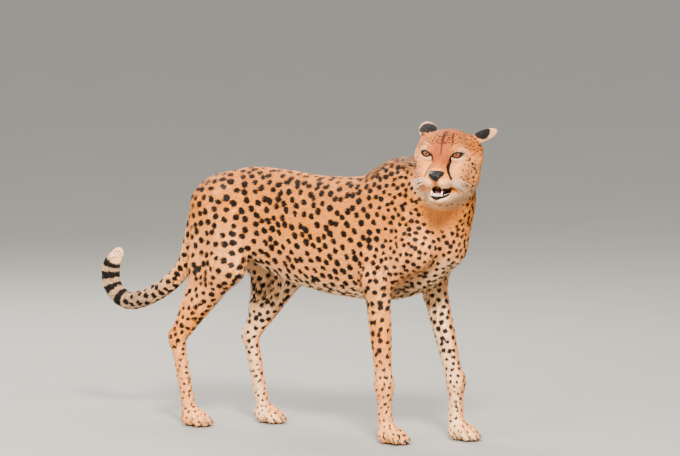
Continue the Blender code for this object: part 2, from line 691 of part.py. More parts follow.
def tooth(shape, side, bm):
    """One tooth, from its middle, way, length and radius on the left; a `side` of -1 puts it on the right."""
    middle, way, length, radius = shape
    fold = np.array((1, side, 1))
    spike(head_pose(middle * fold, across(way * fold, (1, 0, 0))), length, radius, bm)


def lower_teeth(bm):
    """The lower canines and the row of six incisors."""
    tooth(LOWER_CANINE, 1, bm)
    tooth(LOWER_CANINE, -1, bm)
    middle, *rest = INCISOR
    for out in np.linspace(-INCISOR_ROW, INCISOR_ROW, 6):
        tooth(((middle[0], out, middle[2]), *rest), 1, bm)


def upper_teeth(bm):
    """The upper canines."""
    tooth(UPPER_CANINE, 1, bm)
    tooth(UPPER_CANINE, -1, bm)


def join_to(node, build):
    """Joins the shapes that `build` makes to a node."""
    added = new_collection("added")
    add_object("cut", mesh_of("cut", build), added)
    cut_with(node, added, "UNION")


def main():
    """Builds the cheetah: one surface parted by thin cuts, with eyes and tongue in their sockets."""
    clear_scene()
    model = new_collection("cheetah")
    cutters = new_collection("cutters")
    animal = whole_animal(model)
    leg_cuts(cutters)
    tail_cuts(cutters)
    head_cuts(cutters)
    cut_with(animal, cutters)
    nodes = split(animal, model)
    add_claws(nodes)
    join_to(nodes["lower_jaw"], lower_teeth)
    join_to(nodes["head"], upper_teeth)
    open_sockets(nodes["head"], nodes["lower_jaw"])
    for name, side in (("eye_left", 1), ("eye_right", -1)):
        ball(name, head_pose((0, side * EYE_SIDE, 0)), (EYE_RADIUS,) * 3, model, "eye", *EYE_SEGMENTS)
    ball("tongue", head_pose(TONGUE, JAW_TILT), TONGUE_RADII, model, "tongue", *TONGUE_SEGMENTS)


main()
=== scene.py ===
"""The looks of the life-size cheetah: one skin, its coat in tufts, and the eyes, nose, mouth, claws and whiskers.

The skin is the rounded surface of the solids, lowered by the coat's depth, with the folds, lids and lips added.
Tufts, whose tips come back up to the solids' outline, lie over it along the body. Skin and coat work out the
same markings from the same functions.
"""

from math import cos, pi, radians, sin

import bpy
import numpy as np
import openvdb
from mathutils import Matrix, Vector


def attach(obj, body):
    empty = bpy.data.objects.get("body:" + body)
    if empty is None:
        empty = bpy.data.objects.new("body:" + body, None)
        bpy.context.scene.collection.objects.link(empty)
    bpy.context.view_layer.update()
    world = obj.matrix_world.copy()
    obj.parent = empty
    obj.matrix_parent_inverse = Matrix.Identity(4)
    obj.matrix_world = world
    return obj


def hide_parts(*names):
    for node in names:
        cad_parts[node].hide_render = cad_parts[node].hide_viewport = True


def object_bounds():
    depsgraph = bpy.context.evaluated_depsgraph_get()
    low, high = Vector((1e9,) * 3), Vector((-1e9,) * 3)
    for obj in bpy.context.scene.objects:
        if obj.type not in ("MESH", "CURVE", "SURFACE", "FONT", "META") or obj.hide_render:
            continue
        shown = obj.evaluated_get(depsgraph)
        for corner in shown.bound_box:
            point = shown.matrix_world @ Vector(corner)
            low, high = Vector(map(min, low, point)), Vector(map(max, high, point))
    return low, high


bl_info = {
    "name": "Cheetah Coat and Face",
    "version": (1, 0, 0),
    "blender": (4, 5, 0),
    "location": "3D View > Sidebar > Cheetah",
    "description": "Dresses the cheetah's solids with skin, spotted coat, eyes, nose, teeth, claws and whiskers",
    "category": "Object",
}

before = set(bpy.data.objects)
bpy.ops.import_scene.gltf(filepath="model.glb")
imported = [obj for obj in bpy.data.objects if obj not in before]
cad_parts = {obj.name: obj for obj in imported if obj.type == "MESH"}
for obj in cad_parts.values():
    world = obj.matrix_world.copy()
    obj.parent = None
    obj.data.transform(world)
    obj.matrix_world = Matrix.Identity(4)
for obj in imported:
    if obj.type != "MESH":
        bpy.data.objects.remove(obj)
CAD_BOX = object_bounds()

# ---- Driving dimensions, in metres: +X to the head end, +Y the animal's left, +Z up, floor at 0 ----

SHIFT = (0.1114, 0.0210, 0.0)      # brings the middle of the footprint to the origin

TRUNK = (                          # along, back line, belly line, half width
    (-0.385, 0.597, 0.515, 0.040),
    (-0.350, 0.638, 0.482, 0.067),
    (-0.265, 0.687, 0.454, 0.088),
    (-0.150, 0.688, 0.404, 0.084),
    (-0.020, 0.676, 0.371, 0.094),
    (0.090, 0.678, 0.360, 0.102),
    (0.180, 0.696, 0.359, 0.102),
    (0.250, 0.714, 0.372, 0.095),
    (0.320, 0.712, 0.402, 0.084),
    (0.378, 0.668, 0.455, 0.064),
)
TRUNK_CAP = 0.035                  # how far the trunk rounds off past its first and last rows
TRUNK_POWER = 2.3                  # its section, between an ellipse (2) and a box

EYES = (0.4115, -0.1020, 0.7540)      # midway between the eyeballs
HEAD_HEADING = radians(-75.5)       # the face looks over the right shoulder
HEAD_PITCH = radians(0)
HEAD_ROLL = radians(-2)
EYE_SIDE = 0.0392                  # eyeball from the middle of the face
EYE_RADIUS = 0.0172
LID = 0.0034                       # lid over the eyeball
LID_WIDE = 0.0145                  # half the opening between the lids
EAR_LENGTH = 0.067
EAR_WIDTH = 0.048
EAR_DEPTH = 0.020
EARS = (                           # root, way out, way its back faces
    ((-0.058, 0.057, 0.037), (-0.30, 0.88, 0.41), (0.48, -0.22, 0.85)),
    ((-0.054, -0.052, 0.038), (-0.75, -0.42, 0.50), (0.50, 0.06, 0.82)),
)
SHOULDER = (0.312, 0.080, 0.505)
HIP = (-0.295, 0.060, 0.600)
FORE_STEPS = ((1, 0.078), (-1, -0.040))   # side, how far that foot is put forward
HIND_STEPS = ((1, 0.085), (-1, -0.045))
TOES = ((0.050, 0.0092, 0.0105), (0.038, 0.0262, 0.0100))   # reach, side, radius
TAIL = (                           # along, across, up, radius
    (-0.364, 0, 0.616, 0.034),
    (-0.412, 0, 0.560, 0.027),
    (-0.434, 0, 0.490, 0.0240),
    (-0.460, 0, 0.415, 0.0235),
    (-0.515, 0, 0.362, 0.0235),
    (-0.585, 0, 0.325, 0.0240),
    (-0.650, 0, 0.312, 0.0245),
    (-0.698, 0, 0.345, 0.0250),
    (-0.705, 0, 0.400, 0.0250),
    (-0.680, 0, 0.440, 0.0150),
)

HEAD_MIDDLE = (-0.050, 0.0, -0.025)   # middle of the head, in the head's axes

# ---- Rounded shapes, as distances: below 0 inside, above 0 outside ----

def blend(first, second, soft):
    """The union of two shapes, with a fillet about `soft` wide: the smaller distance, rounded off."""
    share = np.clip(0.5 + 0.5 * (second - first) / soft, 0.0, 1.0)
    return second * (1 - share) + first * share - soft * share * (1 - share)

def carve(shape, cutter, soft):
    """`shape` with `cutter` taken out: the larger distance of the two, with the edge rounded by `soft`."""
    return -blend(-shape, cutter, soft)

def frame_of(forward, up):
    """Rows forward, left and up of the axes that look along `forward`."""
    forward = np.array(forward, float)
    forward /= np.linalg.norm(forward)
    up = np.array(up, float)
    up -= forward * (up @ forward)
    up /= np.linalg.norm(up)
    return np.array([forward, np.cross(up, forward), up])

def turned(place, origin, axes):
    """Places as seen from `origin`, in `axes`."""
    return (place - np.float32(origin)) @ np.float32(axes).T

def mirrored(place):
    """Places folded onto the left side, for a shape with two like halves."""
    return np.stack([place[..., 0], np.abs(place[..., 1]), place[..., 2]], -1)

def lump(place, centre, radii, axes=None):
    """An ellipsoid: k (k - 1) / g, where k is the place over the radii, and g its slope."""
    local = place - np.float32(centre)
    if axes is not None:
        local = local @ np.float32(axes).T
    scaled = local / np.float32(radii)
    near = np.sqrt((scaled ** 2).sum(-1))
    slope = np.sqrt(((scaled / np.float32(radii)) ** 2).sum(-1))
    return near * (near - 1) / np.maximum(slope, 1e-6)

def bone(place, start, end, start_radius, end_radius, flat=1.0):
    """A tapered rod with round ends: the distance to its line less its radius there. `flat` is its thickness
    from side to side, over that from front to back."""
    start = np.array(start, float)
    along = np.array(end, float) - start
    side = np.array((0.0, 1.0, 0.0))
    side -= along * (side @ along) / (along @ along)
    side /= np.linalg.norm(side)
    local = place - np.float32(start)
    share = np.clip(local @ np.float32(along) / (along @ along), 0, 1)
    away = local - share[..., None] * np.float32(along)
    across = (away @ np.float32(side)) * (1 / flat - 1)
    away = away + across[..., None] * np.float32(side)
    radius = start_radius + (end_radius - start_radius) * share
    return (np.sqrt((away ** 2).sum(-1)) - radius) * min(flat, 1.0) ** 0.5

def smooth_curve(points, count):
    """`count` points of the Catmull-Rom curve through the given rows, of any width."""
    points = np.array(points, float)
    rows = np.vstack([2 * points[0] - points[1], points, 2 * points[-1] - points[-2]])
    at = np.linspace(0, len(points) - 1 - 1e-9, count)
    i = at.astype(int)
    t = (at - i)[:, None]
    a, b, c, d = rows[i], rows[i + 1], rows[i + 2], rows[i + 3]
    square = 2 * a - 5 * b + 4 * c - d
    cube = 3 * b - 3 * c + d - a
    return 0.5 * (2 * b + (c - a) * t + square * t ** 2 + cube * t ** 3)

def chain(place, stations, count):
    """A bending tube through rows of place and radius: the nearest of short tapered rods."""
    rows = smooth_curve(stations, count)
    nearest = np.full(place.shape[:-1], 9.0, np.float32)
    for first, second in zip(rows[:-1], rows[1:]):
        nearest = np.minimum(nearest, bone(place, first[:3], second[:3], first[3], second[3]))
    return nearest

# ---- The animal ----

def trunk(place):
    """Rump to chest: at each place along, a rounded section between the back line and the belly line."""
    rows = smooth_curve(TRUNK, 160)
    x = place[..., 0]
    back, belly, half = (np.interp(x, rows[:, 0], rows[:, i]).astype(np.float32) for i in (1, 2, 3))
    height = (back - belly) / 2
    up = (place[..., 2] - (back + belly) / 2) / height
    side = place[..., 1] / (half * (1 + 0.10 * np.clip(up, -1.2, 1.2)))
    cap = np.maximum(np.maximum(TRUNK[0][0] - x, x - TRUNK[-1][0]), 0) / TRUNK_CAP
    near = (np.abs(up) ** TRUNK_POWER + np.abs(side) ** TRUNK_POWER + cap ** TRUNK_POWER) ** (1 / TRUNK_POWER)
    size = np.maximum(np.sqrt(up ** 2 + side ** 2 + cap ** 2), 1e-3)
    slope = np.sqrt((up / height) ** 2 + (side / half) ** 2 + (cap / TRUNK_CAP) ** 2) / size
    return (np.maximum(near, 1e-3) - 1) / np.maximum(slope, 1.0)

def neck(place):
    """Neck from the withers to the back of the skull, with the short mane over the nape."""
    low = bone(place, (0.235, 0, 0.600), (0.345, -0.002, 0.640), 0.096, 0.084, 0.86)
    high = bone(place, (0.330, 0, 0.640), (0.402, -0.033, 0.698), 0.082, 0.059, 0.95)
    mane = bone(place, (0.206, 0, 0.698), (0.330, 0, 0.704), 0.018, 0.026)
    return blend(blend(low, high, 0.03), mane, 0.045)

def paw(place, at):
    """Pad and four toes, each toe a bent rod that comes down to the floor."""
    local = place - np.float32((at[0], at[1], 0))
    shape = lump(local, (0.002, 0, 0.024), (0.034, 0.030, 0.028))
    for reach, side, radius in TOES:
        for hand in (side, -side):
            knuckle = (reach - 0.010, hand, 0.0235)
            toe = bone(local, (0.012, hand * 0.75, 0.034), knuckle, radius, radius)
            tip = bone(local, (reach - 0.012, hand, 0.022), (reach, hand, 0.0085), radius, radius * 0.95)
            shape = blend(shape, blend(toe, tip, 0.004), 0.004)
    return shape

def fore_joints(step):
    """Elbow, wrist and ankle of a front leg whose foot is put `step` forward."""
    return ((0.224 + step * 0.45, 0.088, 0.425), (0.262 + step, 0.080, 0.150), (0.264 + step, 0.078, 0.058))

def foreleg(place, side, step):
    """One front leg: shoulder blade, upper arm, forearm, wrist, pastern and paw."""
    p = place * np.float32((1, side, 1))
    elbow, wrist, ankle = fore_joints(step)
    shape = bone(p, (0.230, 0.050, 0.682), SHOULDER, 0.045, 0.048, 0.62)
    shape = blend(shape, bone(p, SHOULDER, elbow, 0.053, 0.040, 0.72), 0.03)
    shape = blend(shape, bone(p, (0.205, 0.062, 0.600), elbow, 0.054, 0.036, 0.60), 0.03)
    shape = blend(shape, bone(p, elbow, wrist, 0.0390, 0.0215, 0.86), 0.02)
    shape = blend(shape, lump(p, (wrist[0] + 0.002, wrist[1], wrist[2]), (0.0225, 0.0220, 0.034)), 0.02)
    shape = blend(shape, bone(p, wrist, ankle, 0.0200, 0.0205), 0.014)
    return blend(shape, paw(p, (ankle[0] + 0.010, ankle[1])), 0.014)

def hind_joints(step):
    """Knee, hock and ankle of a hind leg whose foot is put `step` forward."""
    return ((-0.225 + step * 0.8, 0.088, 0.435), (-0.385 + step, 0.078, 0.228), (-0.350 + step, 0.078, 0.060))

def hindleg(place, side, step):
    """One hind leg: thigh, ham, shank with its tendon, hock, pastern and paw."""
    p = place * np.float32((1, side, 1))
    knee, hock, ankle = hind_joints(step)
    ham = bone(p, (-0.340, 0.050, 0.585), (-0.325 + step * 0.6, 0.074, 0.430), 0.060, 0.042, 0.72)
    calf = bone(p, (-0.320 + step * 0.7, 0.074, 0.400), (hock[0] + 0.002, 0.078, 0.270), 0.036, 0.013, 0.7)
    heel = lump(p, (hock[0] - 0.008, hock[1], hock[2] + 0.010), (0.018, 0.017, 0.026))
    shape = blend(bone(p, HIP, knee, 0.075, 0.052, 0.66), ham, 0.035)
    shape = blend(shape, bone(p, knee, hock, 0.049, 0.020, 0.80), 0.025)
    shape = blend(blend(shape, calf, 0.02), heel, 0.014)
    shape = blend(shape, bone(p, hock, ankle, 0.0205, 0.0190), 0.016)
    return blend(shape, paw(p, (ankle[0] + 0.012, ankle[1])), 0.014)

def body(place):
    """Everything behind the head."""
    shape = blend(trunk(place), neck(place), 0.05)
    for side, step in FORE_STEPS:
        shape = blend(shape, foreleg(place, side, step), 0.028)
    for side, step in HIND_STEPS:
        shape = blend(shape, hindleg(place, side, step), 0.030)
    return blend(shape, chain(place, TAIL, 25), 0.020)

def head_axes():
    """Rows forward, left and up of the head."""
    level = cos(HEAD_PITCH)
    forward = np.array([cos(HEAD_HEADING) * level, sin(HEAD_HEADING) * level, sin(HEAD_PITCH)])
    _, left, up = frame_of(forward, (0, 0, 1))
    left = left * cos(HEAD_ROLL) + up * sin(HEAD_ROLL)
    return np.array([forward, left, np.cross(forward, left)])

HEAD = head_axes()
EYE_GAZE = frame_of((1, 0.16, 0.0), (0, -0.24, 1))   # the left eyeball's axes, in the head's
JAW_TILT = frame_of((1, 0, -0.13), (0, 0, 1))

def from_head(point):
    """A point given in the head's axes, as a place in the animal's."""
    return np.array(EYES) + HEAD.T @ np.array(point, float)

def skull(place):
    """Head in its own axes, with closed eyes and closed lips: origin midway between the eyes."""
    p = mirrored(place)
    shape = lump(p, (-0.062, 0, 0.003), (0.072, 0.069, 0.058))                              # braincase
    shape = blend(shape, lump(p, (-0.022, 0, 0.014), (0.036, 0.047, 0.036)), 0.022)         # forehead
    shape = blend(shape, lump(p, (-0.056, 0.056, -0.004), (0.042, 0.032, 0.042)), 0.020)    # temple
    shape = blend(shape, lump(p, (-0.048, 0.044, -0.040), (0.044, 0.034, 0.046)), 0.020)    # jaw muscle
    cheekbone = bone(p, (-0.004, 0.053, -0.022), (-0.050, 0.073, -0.010), 0.012, 0.013)
    brow = bone(p, (0.006, 0.024, 0.017), (-0.012, 0.058, 0.015), 0.009, 0.008)
    bridge = bone(p, (-0.002, 0, 0.000), (0.050, 0, -0.0440), 0.0180, 0.0125, 1.35)
    shape = blend(blend(blend(shape, cheekbone, 0.018), brow, 0.012), bridge, 0.012)
    shape = blend(shape, lump(p, (0.016, 0, -0.054), (0.043, 0.040, 0.029)), 0.014)         # muzzle
    shape = blend(shape, lump(p, (-0.006, 0.040, -0.052), (0.032, 0.026, 0.034)), 0.018)    # cheek
    shape = blend(shape, lump(p, (0.037, 0.0185, -0.0680), (0.027, 0.0205, 0.0175)), 0.007)  # whisker pads
    shape = blend(shape, lump(p, (0.0585, 0, -0.0525), (0.014, 0.0185, 0.0110)), 0.006)     # nose
    shape = blend(shape, lump(p, (-0.058, 0.047, -0.060), (0.038, 0.030, 0.044)), 0.022)    # ruff
    shape = blend(shape, lump(p, (-0.070, 0, -0.075), (0.050, 0.046, 0.045)), 0.020)        # throat
    chin = lump(p, (0.028, 0, -0.1120), (0.0215, 0.0225, 0.0155))
    jaw = blend(chin, bone(p, (0.018, 0.013, -0.112), (-0.050, 0.038, -0.086), 0.0150, 0.024), 0.012)
    shape = blend(shape, jaw, 0.006)
    shape = blend(shape, lump(p, (0, EYE_SIDE, 0), (EYE_RADIUS + LID,) * 3), 0.006)
    return carve(shape, lump(p, (0.034, 0, -0.0925), (0.052, 0.0300, 0.0130), JAW_TILT), 0.003)   # open mouth

def one_ear(place, root, out, back):
    """A rounded cup, its hollow on the side away from `back`."""
    local = turned(place, root, frame_of(out, back))
    outer = lump(local, (EAR_LENGTH * 0.42, 0, -0.004), (EAR_LENGTH * 0.58, EAR_WIDTH / 2, EAR_DEPTH * 0.62))
    hollow_radii = (EAR_LENGTH * 0.48, EAR_WIDTH * 0.42, EAR_DEPTH * 0.66)
    hollow = lump(local, (EAR_LENGTH * 0.56, 0, -0.0150), hollow_radii)
    return carve(outer, hollow, 0.003)

# ---- The skin: the animal's surface less the coat's depth, with the openings of the face ----

BODY_COAT = 0.0052                 # depths of the coat
LEG_COAT = 0.0026
PAW_COAT = 0.0012
FACE_COAT = 0.0018
MANE_COAT = 0.0130
BELLY_COAT = 0.0085
LID_COAT = 0.0011
EAR_COAT = 0.0009
MANE_LINE = ((0.195, 0, 0.705), (0.300, 0, 0.724), (0.372, -0.012, 0.730))
SOCKET_GAP = 0.0004
LID_TOP = 0.0060                    # the opening between the lids, above and below its corners
LID_BOTTOM = 0.0072
GAZE = frame_of((1, 0.0, 0.10), (0, 0, 1))     # the way both pupils face, in the head's axes

def ramp(value, low, high):
    """0 below `low`, 1 above `high`, and 3 t^2 - 2 t^3 between them."""
    t = np.clip((value - low) / (high - low), 0, 1)
    return t * t * (3 - 2 * t)

def to_line(place, points):
    """The distance to a line of straight pieces, whatever the number of axes."""
    points = np.array(points, np.float32)
    nearest = np.full(place.shape[:-1], 9.0, np.float32)
    for start, end in zip(points[:-1], points[1:]):
        along = end - start
        share = np.clip((place - start) @ along / (along @ along), 0, 1)
        nearest = np.minimum(nearest, np.linalg.norm(place - start - share[..., None] * along, axis=-1))
    return nearest

def eye_axes(local):
    """Places in the axes of the eye on their own side: forward, outward and up, from the eyeball's middle."""
    return turned(mirrored(local), (0, EYE_SIDE, 0), EYE_GAZE)

def bow_of(tall):
    """Radius of the arc that is 2 LID_WIDE across and `tall` high."""
    return (LID_WIDE ** 2 + tall ** 2) / (2 * tall)

def almond(seen):
    """Signed distance to the lids' opening, in eye axes: the larger of those to two crossing circles."""
    over, under = bow_of(LID_TOP), bow_of(LID_BOTTOM)
    top = np.hypot(seen[..., 1], seen[..., 2] + over - LID_TOP) - over
    bottom = np.hypot(seen[..., 1], seen[..., 2] - under + LID_BOTTOM) - under
    return np.maximum(top, bottom)

def mouth(local):
    """Distance to the wedge of the open mouth."""
    return lump(mirrored(local), (0.034, 0, -0.0925), (0.052, 0.0300, 0.0130), JAW_TILT)

def coat_depth(place, local):
    """How deep the coat is at places in the animal's axes, which `local` gives in the head's."""
    height = place[:, 2]
    depth = PAW_COAT + (LEG_COAT - PAW_COAT) * ramp(height, 0.04, 0.10)
    tail = ramp(-place[:, 0], 0.40, 0.44)
    depth = depth + (BODY_COAT - depth) * np.maximum(ramp(height, 0.22, 0.46), tail)
    belly = ramp(-height, -0.42, -0.38) * ramp(height, 0.31, 0.34) * (1 - tail)
    depth = depth + (BELLY_COAT - depth) * belly * (np.abs(place[:, 1]) < 0.075)
    mane = 1 - ramp(to_line(place, MANE_LINE), 0.015, 0.070)
    depth = depth + (MANE_COAT - depth) * mane
    away = np.linalg.norm(local - np.float32((0.02, 0, -0.035)), axis=1)
    face = 1 - ramp(away, 0.075, 0.135)
    depth = depth + (FACE_COAT - depth) * face
    for root, out, _ in EARS:
        middle = np.float32(np.array(root) + unit(np.array(out)) * EAR_LENGTH * 0.5)
        ear = 1 - ramp(np.linalg.norm(local - middle, axis=1), 0.034, 0.046)
        depth = depth + (EAR_COAT - depth) * ear
    seen = eye_axes(local)
    lids = 1 - ramp(np.abs(almond(seen)), 0.004, 0.012)
    return depth + (LID_COAT - depth) * lids * face

def skin_field(place):
    """Distance to the skin, from places in the model's frame."""
    place = place - np.float32(SHIFT)
    shape = body(place)
    local = turned(place, EYES, HEAD)
    near = np.linalg.norm(local - np.float32(HEAD_MIDDLE), axis=1) < 0.24
    face = skull(local[near])
    for root, out, back in EARS:
        face = blend(face, one_ear(local[near], root, out, back), 0.008)
    shape[near] = blend(face, shape[near], 0.022)
    shape += coat_depth(place, local)
    near = np.linalg.norm(local - np.float32((0.03, 0, -0.04)), axis=1) < 0.12
    shape[near] = openings(shape[near], local[near])
    return np.maximum(shape, -place[:, 2])

def openings(face, local):
    """The face with its sockets, the gap between the lids, the folds over them and the philtrum."""
    p = mirrored(local)
    seen = eye_axes(local)
    ball = np.linalg.norm(seen, axis=-1) - (EYE_RADIUS + SOCKET_GAP)
    gap = np.maximum(almond(seen), -seen[..., 0])
    crease = np.abs(np.hypot(seen[..., 1] * 0.82, seen[..., 2] + 0.002) - 0.0150)
    fold = np.hypot(crease, (np.linalg.norm(seen, axis=-1) - EYE_RADIUS - 0.0036) * 0.6) - 0.0014
    fold = np.maximum(fold, 0.004 - seen[..., 2])
    face = carve(face, fold, 0.002)
    face = carve(carve(face, gap, 0.0012), ball, 0.0006)
    cleft = bone(p, (0.0720, 0, -0.062), (0.0600, 0, -0.083), 0.0016, 0.0020)
    return carve(face, cleft, 0.003)

# ---- The mesh of a field, finer round the face ----

FINE_MIDDLE = (0.010, 0.0, -0.040) # in the head's axes
FINE_REACH = 0.085                 # round it, the mesh is FINE_GAIN times as fine
FINE_FADE = 0.08
FINE_GAIN = 6.0
BLOCK = 4

def widened(radius):
    """Distance from the face's middle in the enlarged space: times FINE_GAIN inside FINE_REACH, and past it
    a slope that falls to 1 as exp(-beyond / FINE_FADE)."""
    beyond = np.clip(radius - FINE_REACH, 0, None)
    extra = (FINE_GAIN - 1) * FINE_FADE * (1 - np.exp(-beyond / FINE_FADE))
    return np.minimum(radius, FINE_REACH) * FINE_GAIN + beyond + extra

REAL_RADII = np.linspace(0, 3.0, 3000)
WIDE_RADII = widened(REAL_RADII)

def rescaled(place, given, wanted):
    """Places moved along their lines from the face's middle, from the radii `given` to those `wanted`."""
    middle = from_head(FINE_MIDDLE) + np.array(SHIFT)
    away = place - middle
    radius = np.linalg.norm(away, axis=-1)
    return middle + away * (np.interp(radius, given, wanted) / np.maximum(radius, 1e-9))[..., None]

def surface(field, low, high, step):
    """Points and four-sided faces where `field` is 0 inside the box: a grid of `step` in the enlarged space,
    worked out block by block near the surface only."""
    corners = np.stack(np.meshgrid(*zip(low, high), indexing="ij"), -1).reshape(-1, 3)
    wide = rescaled(corners, REAL_RADII, WIDE_RADII)
    first = wide.min(0) - 0.08
    counts = np.ceil((wide.max(0) + 0.08 - first) / (step * BLOCK)).astype(int)
    grid = np.empty(counts * BLOCK, np.float32)
    blocks = grid.reshape(counts[0], BLOCK, counts[1], BLOCK, counts[2], BLOCK)
    index = np.stack(np.meshgrid(*(np.arange(c) for c in counts), indexing="ij"), -1).reshape(-1, 3)
    middles = first + (index + 0.5 - 0.5 / BLOCK) * BLOCK * step
    real = rescaled(middles, WIDE_RADII, REAL_RADII)
    distance = field(real)
    blocks[index[:, 0], :, index[:, 1], :, index[:, 2], :] = np.sign(distance)[:, None, None, None] * 0.5
    radius = np.linalg.norm(middles - (from_head(FINE_MIDDLE) + np.array(SHIFT)), axis=1)
    steepness = np.interp(radius, WIDE_RADII, np.gradient(WIDE_RADII, REAL_RADII))
    near = index[np.abs(distance) * steepness < BLOCK * step * 1.3]
    inside = np.stack(np.meshgrid(*[np.arange(BLOCK)] * 3, indexing="ij"), -1)
    for part in np.array_split(near, max(1, len(near) // 3000)):
        cells = part[:, None, None, None, :] * BLOCK + inside
        values = field(rescaled(first + cells * step, WIDE_RADII, REAL_RADII).reshape(-1, 3))
        blocks[part[:, 0], :, part[:, 1], :, part[:, 2], :] = values.reshape(cells.shape[:-1])
    volume = openvdb.FloatGrid(0.5)
    volume.copyFromArray(grid)
    points, _, quads = volume.convertToPolygons(0.0, 0.0)
    return rescaled(first + points * float(step), WIDE_RADII, REAL_RADII), quads

def face_normals(points, quads):
    """The cross product of each face's diagonals, twice its area long."""
    a, b, c, d = (points[quads[:, i]] for i in range(4))
    return np.cross(c - a, d - b)

def point_normals(points, quads):
    """The sum of the normals of the faces round each point, made one long."""
    normals = np.zeros_like(points)
    each = face_normals(points, quads)
    for corner in range(4):
        for axis in range(3):
            normals[:, axis] += np.bincount(quads[:, corner], each[:, axis], len(points))
    return normals / np.maximum(np.linalg.norm(normals, axis=1), 1e-12)[:, None]

# ---- How the coat lies ----

NOSE = (0.085, 0, -0.055)          # the face's coat runs back from here, in the head's axes
SPREAD = 0.012                     # how softly one part's lie gives way to the next

def unit(vectors):
    """The same directions, one long."""
    return vectors / np.maximum(np.linalg.norm(vectors, axis=-1), 1e-9)[..., None]

def leg_lie(place, side, distance, top):
    """Down a leg: back along the shoulder or thigh, straight down below, and forward on the paw."""
    down = ramp(-place[:, 2], -top, 0.25 - top)
    foot = ramp(-place[:, 2], -0.055, -0.030)
    way = np.stack([-0.55 + 0.45 * down + foot * 1.2, np.full(len(place), 0.05 * side),
                    -0.85 + foot * 0.55], -1)
    return distance, way

def parts(place):
    """For each part of the body: its name, the distance to it, and the way that its coat lies."""
    local = turned(place, EYES, HEAD)
    face = np.full(len(place), 0.5, np.float32)
    near = np.linalg.norm(local - np.float32(HEAD_MIDDLE), axis=1) < 0.24
    face[near] = skull(local[near])
    found = [("head", face, (local - np.float32(NOSE)) @ HEAD)]
    for name, (root, out, back) in zip(("ear_left", "ear_right"), EARS):
        ear = np.full(len(place), 0.5, np.float32)
        ear[near] = one_ear(local[near], root, out, back) - 0.006
        found.append((name, ear, np.broadcast_to(np.array(out) @ HEAD, place.shape)))
    found.append(("neck", neck(place), np.broadcast_to((-0.80, 0.0, -0.45), place.shape)))
    slope = np.stack([np.full(len(place), -1.0), np.zeros(len(place)),
                      -0.35 * np.abs(place[:, 1]) / 0.10], -1)
    found.append(("trunk", trunk(place), slope))
    for name, side, step in (("front_left", *FORE_STEPS[0]), ("front_right", *FORE_STEPS[1])):
        found.append((name, *leg_lie(place, side, foreleg(place, side, step), 0.50)))
    for name, side, step in (("hind_left", *HIND_STEPS[0]), ("hind_right", *HIND_STEPS[1])):
        found.append((name, *leg_lie(place, side, hindleg(place, side, step), 0.55)))
    rows = smooth_curve(TAIL, 60)[:, :3]
    nearest = np.argmin(((place[:, None] - rows[None, :-1]) ** 2).sum(-1), axis=1)
    found.append(("tail", chain(place, TAIL, 25), (rows[1:] - rows[:-1])[nearest]))
    return found

def lie_of(place, normal):
    """The way that the coat lies on the skin there, and the index of the nearest part: each part's own way
    counts for exp(-distance / SPREAD), less what points out of the skin."""
    found = parts(place)
    distance = np.stack([each[1] for each in found])
    share = np.exp(-(distance - distance.min(0)) / SPREAD)
    way = sum(share[i][:, None] * unit(np.asarray(each[2], float)) for i, each in enumerate(found))
    way = way - normal * (way * normal).sum(1)[:, None]
    return unit(way), distance.argmin(0)

PART_NAMES = ("head", "ear_left", "ear_right", "neck", "trunk", "front_left", "front_right", "hind_left",
              "hind_right", "tail")

# ---- Markings: shares from 0 to 1, the same for skin and coat ----

TEAR_LINE = ((0.0245, -0.004), (0.0228, -0.013), (0.0220, -0.026), (0.0262, -0.040), (0.0315, -0.051),
             (0.0360, -0.061))                              # outward and up, in the head's axes
BROW_STREAK = ((0.0235, 0.016), (0.0262, 0.028), (0.0240, 0.040), (0.0200, 0.050))
MEDIAN_STRIPE = ((0.0, -0.012), (0.0, 0.030), (0.0035, 0.056))
CHEEK_SPOTS = (                    # place in the head's axes, then radius: behind the eye and down the cheek
    (-0.010, 0.066, -0.014, 0.0022), (-0.017, 0.071, -0.022, 0.0030), (-0.026, 0.076, -0.034, 0.0028),
    (-0.034, 0.078, -0.044, 0.0024), (-0.028, 0.070, -0.056, 0.0030), (-0.006, 0.062, -0.060, 0.0022),
    (0.002, 0.056, -0.052, 0.0018), (-0.008, 0.062, -0.046, 0.0020), (-0.036, 0.068, -0.078, 0.0030),
    (-0.020, 0.060, -0.078, 0.0024),
)
TAIL_RINGS = (0.700, 0.775, 0.848, 0.915)                          # shares of the tail's length
RING_HALF = 0.021
TAIL_TIP = 0.955

def along_tail(place):
    """Share of the tail's length at the nearest place of its middle line, and the distance from that line."""
    rows = smooth_curve(TAIL, 200)[:, :3].astype(np.float32)
    share = np.zeros(len(place), np.float32)
    away = np.full(len(place), 1.0, np.float32)
    near = place[:, 0] < -0.33
    squared = ((place[near][:, None] - rows[None]) ** 2).sum(-1)
    share[near] = squared.argmin(1) / (len(rows) - 1)
    away[near] = np.sqrt(squared.min(1))
    return share, away

def spacing(place, local):
    """How far apart the spots' middles are: closer on the neck, the legs and the head."""
    wide = np.full(len(place), 0.0242, np.float32)
    front = ramp(place[:, 0], 0.16, 0.27)
    wide = wide + (0.0178 - wide) * front
    wide = wide + (0.0195 - wide) * ramp(-place[:, 2], -0.46, -0.36)
    wide = wide + (0.0150 - wide) * ramp(-place[:, 2], -0.26, -0.10)
    away = np.linalg.norm(local - np.float32((-0.03, 0, -0.03)), axis=1)
    head = 1 - ramp(away, 0.085, 0.125)
    cheek = 0.0118 - 0.0046 * ramp(local[:, 2], -0.01, 0.03)
    return wide + (cheek - wide) * head

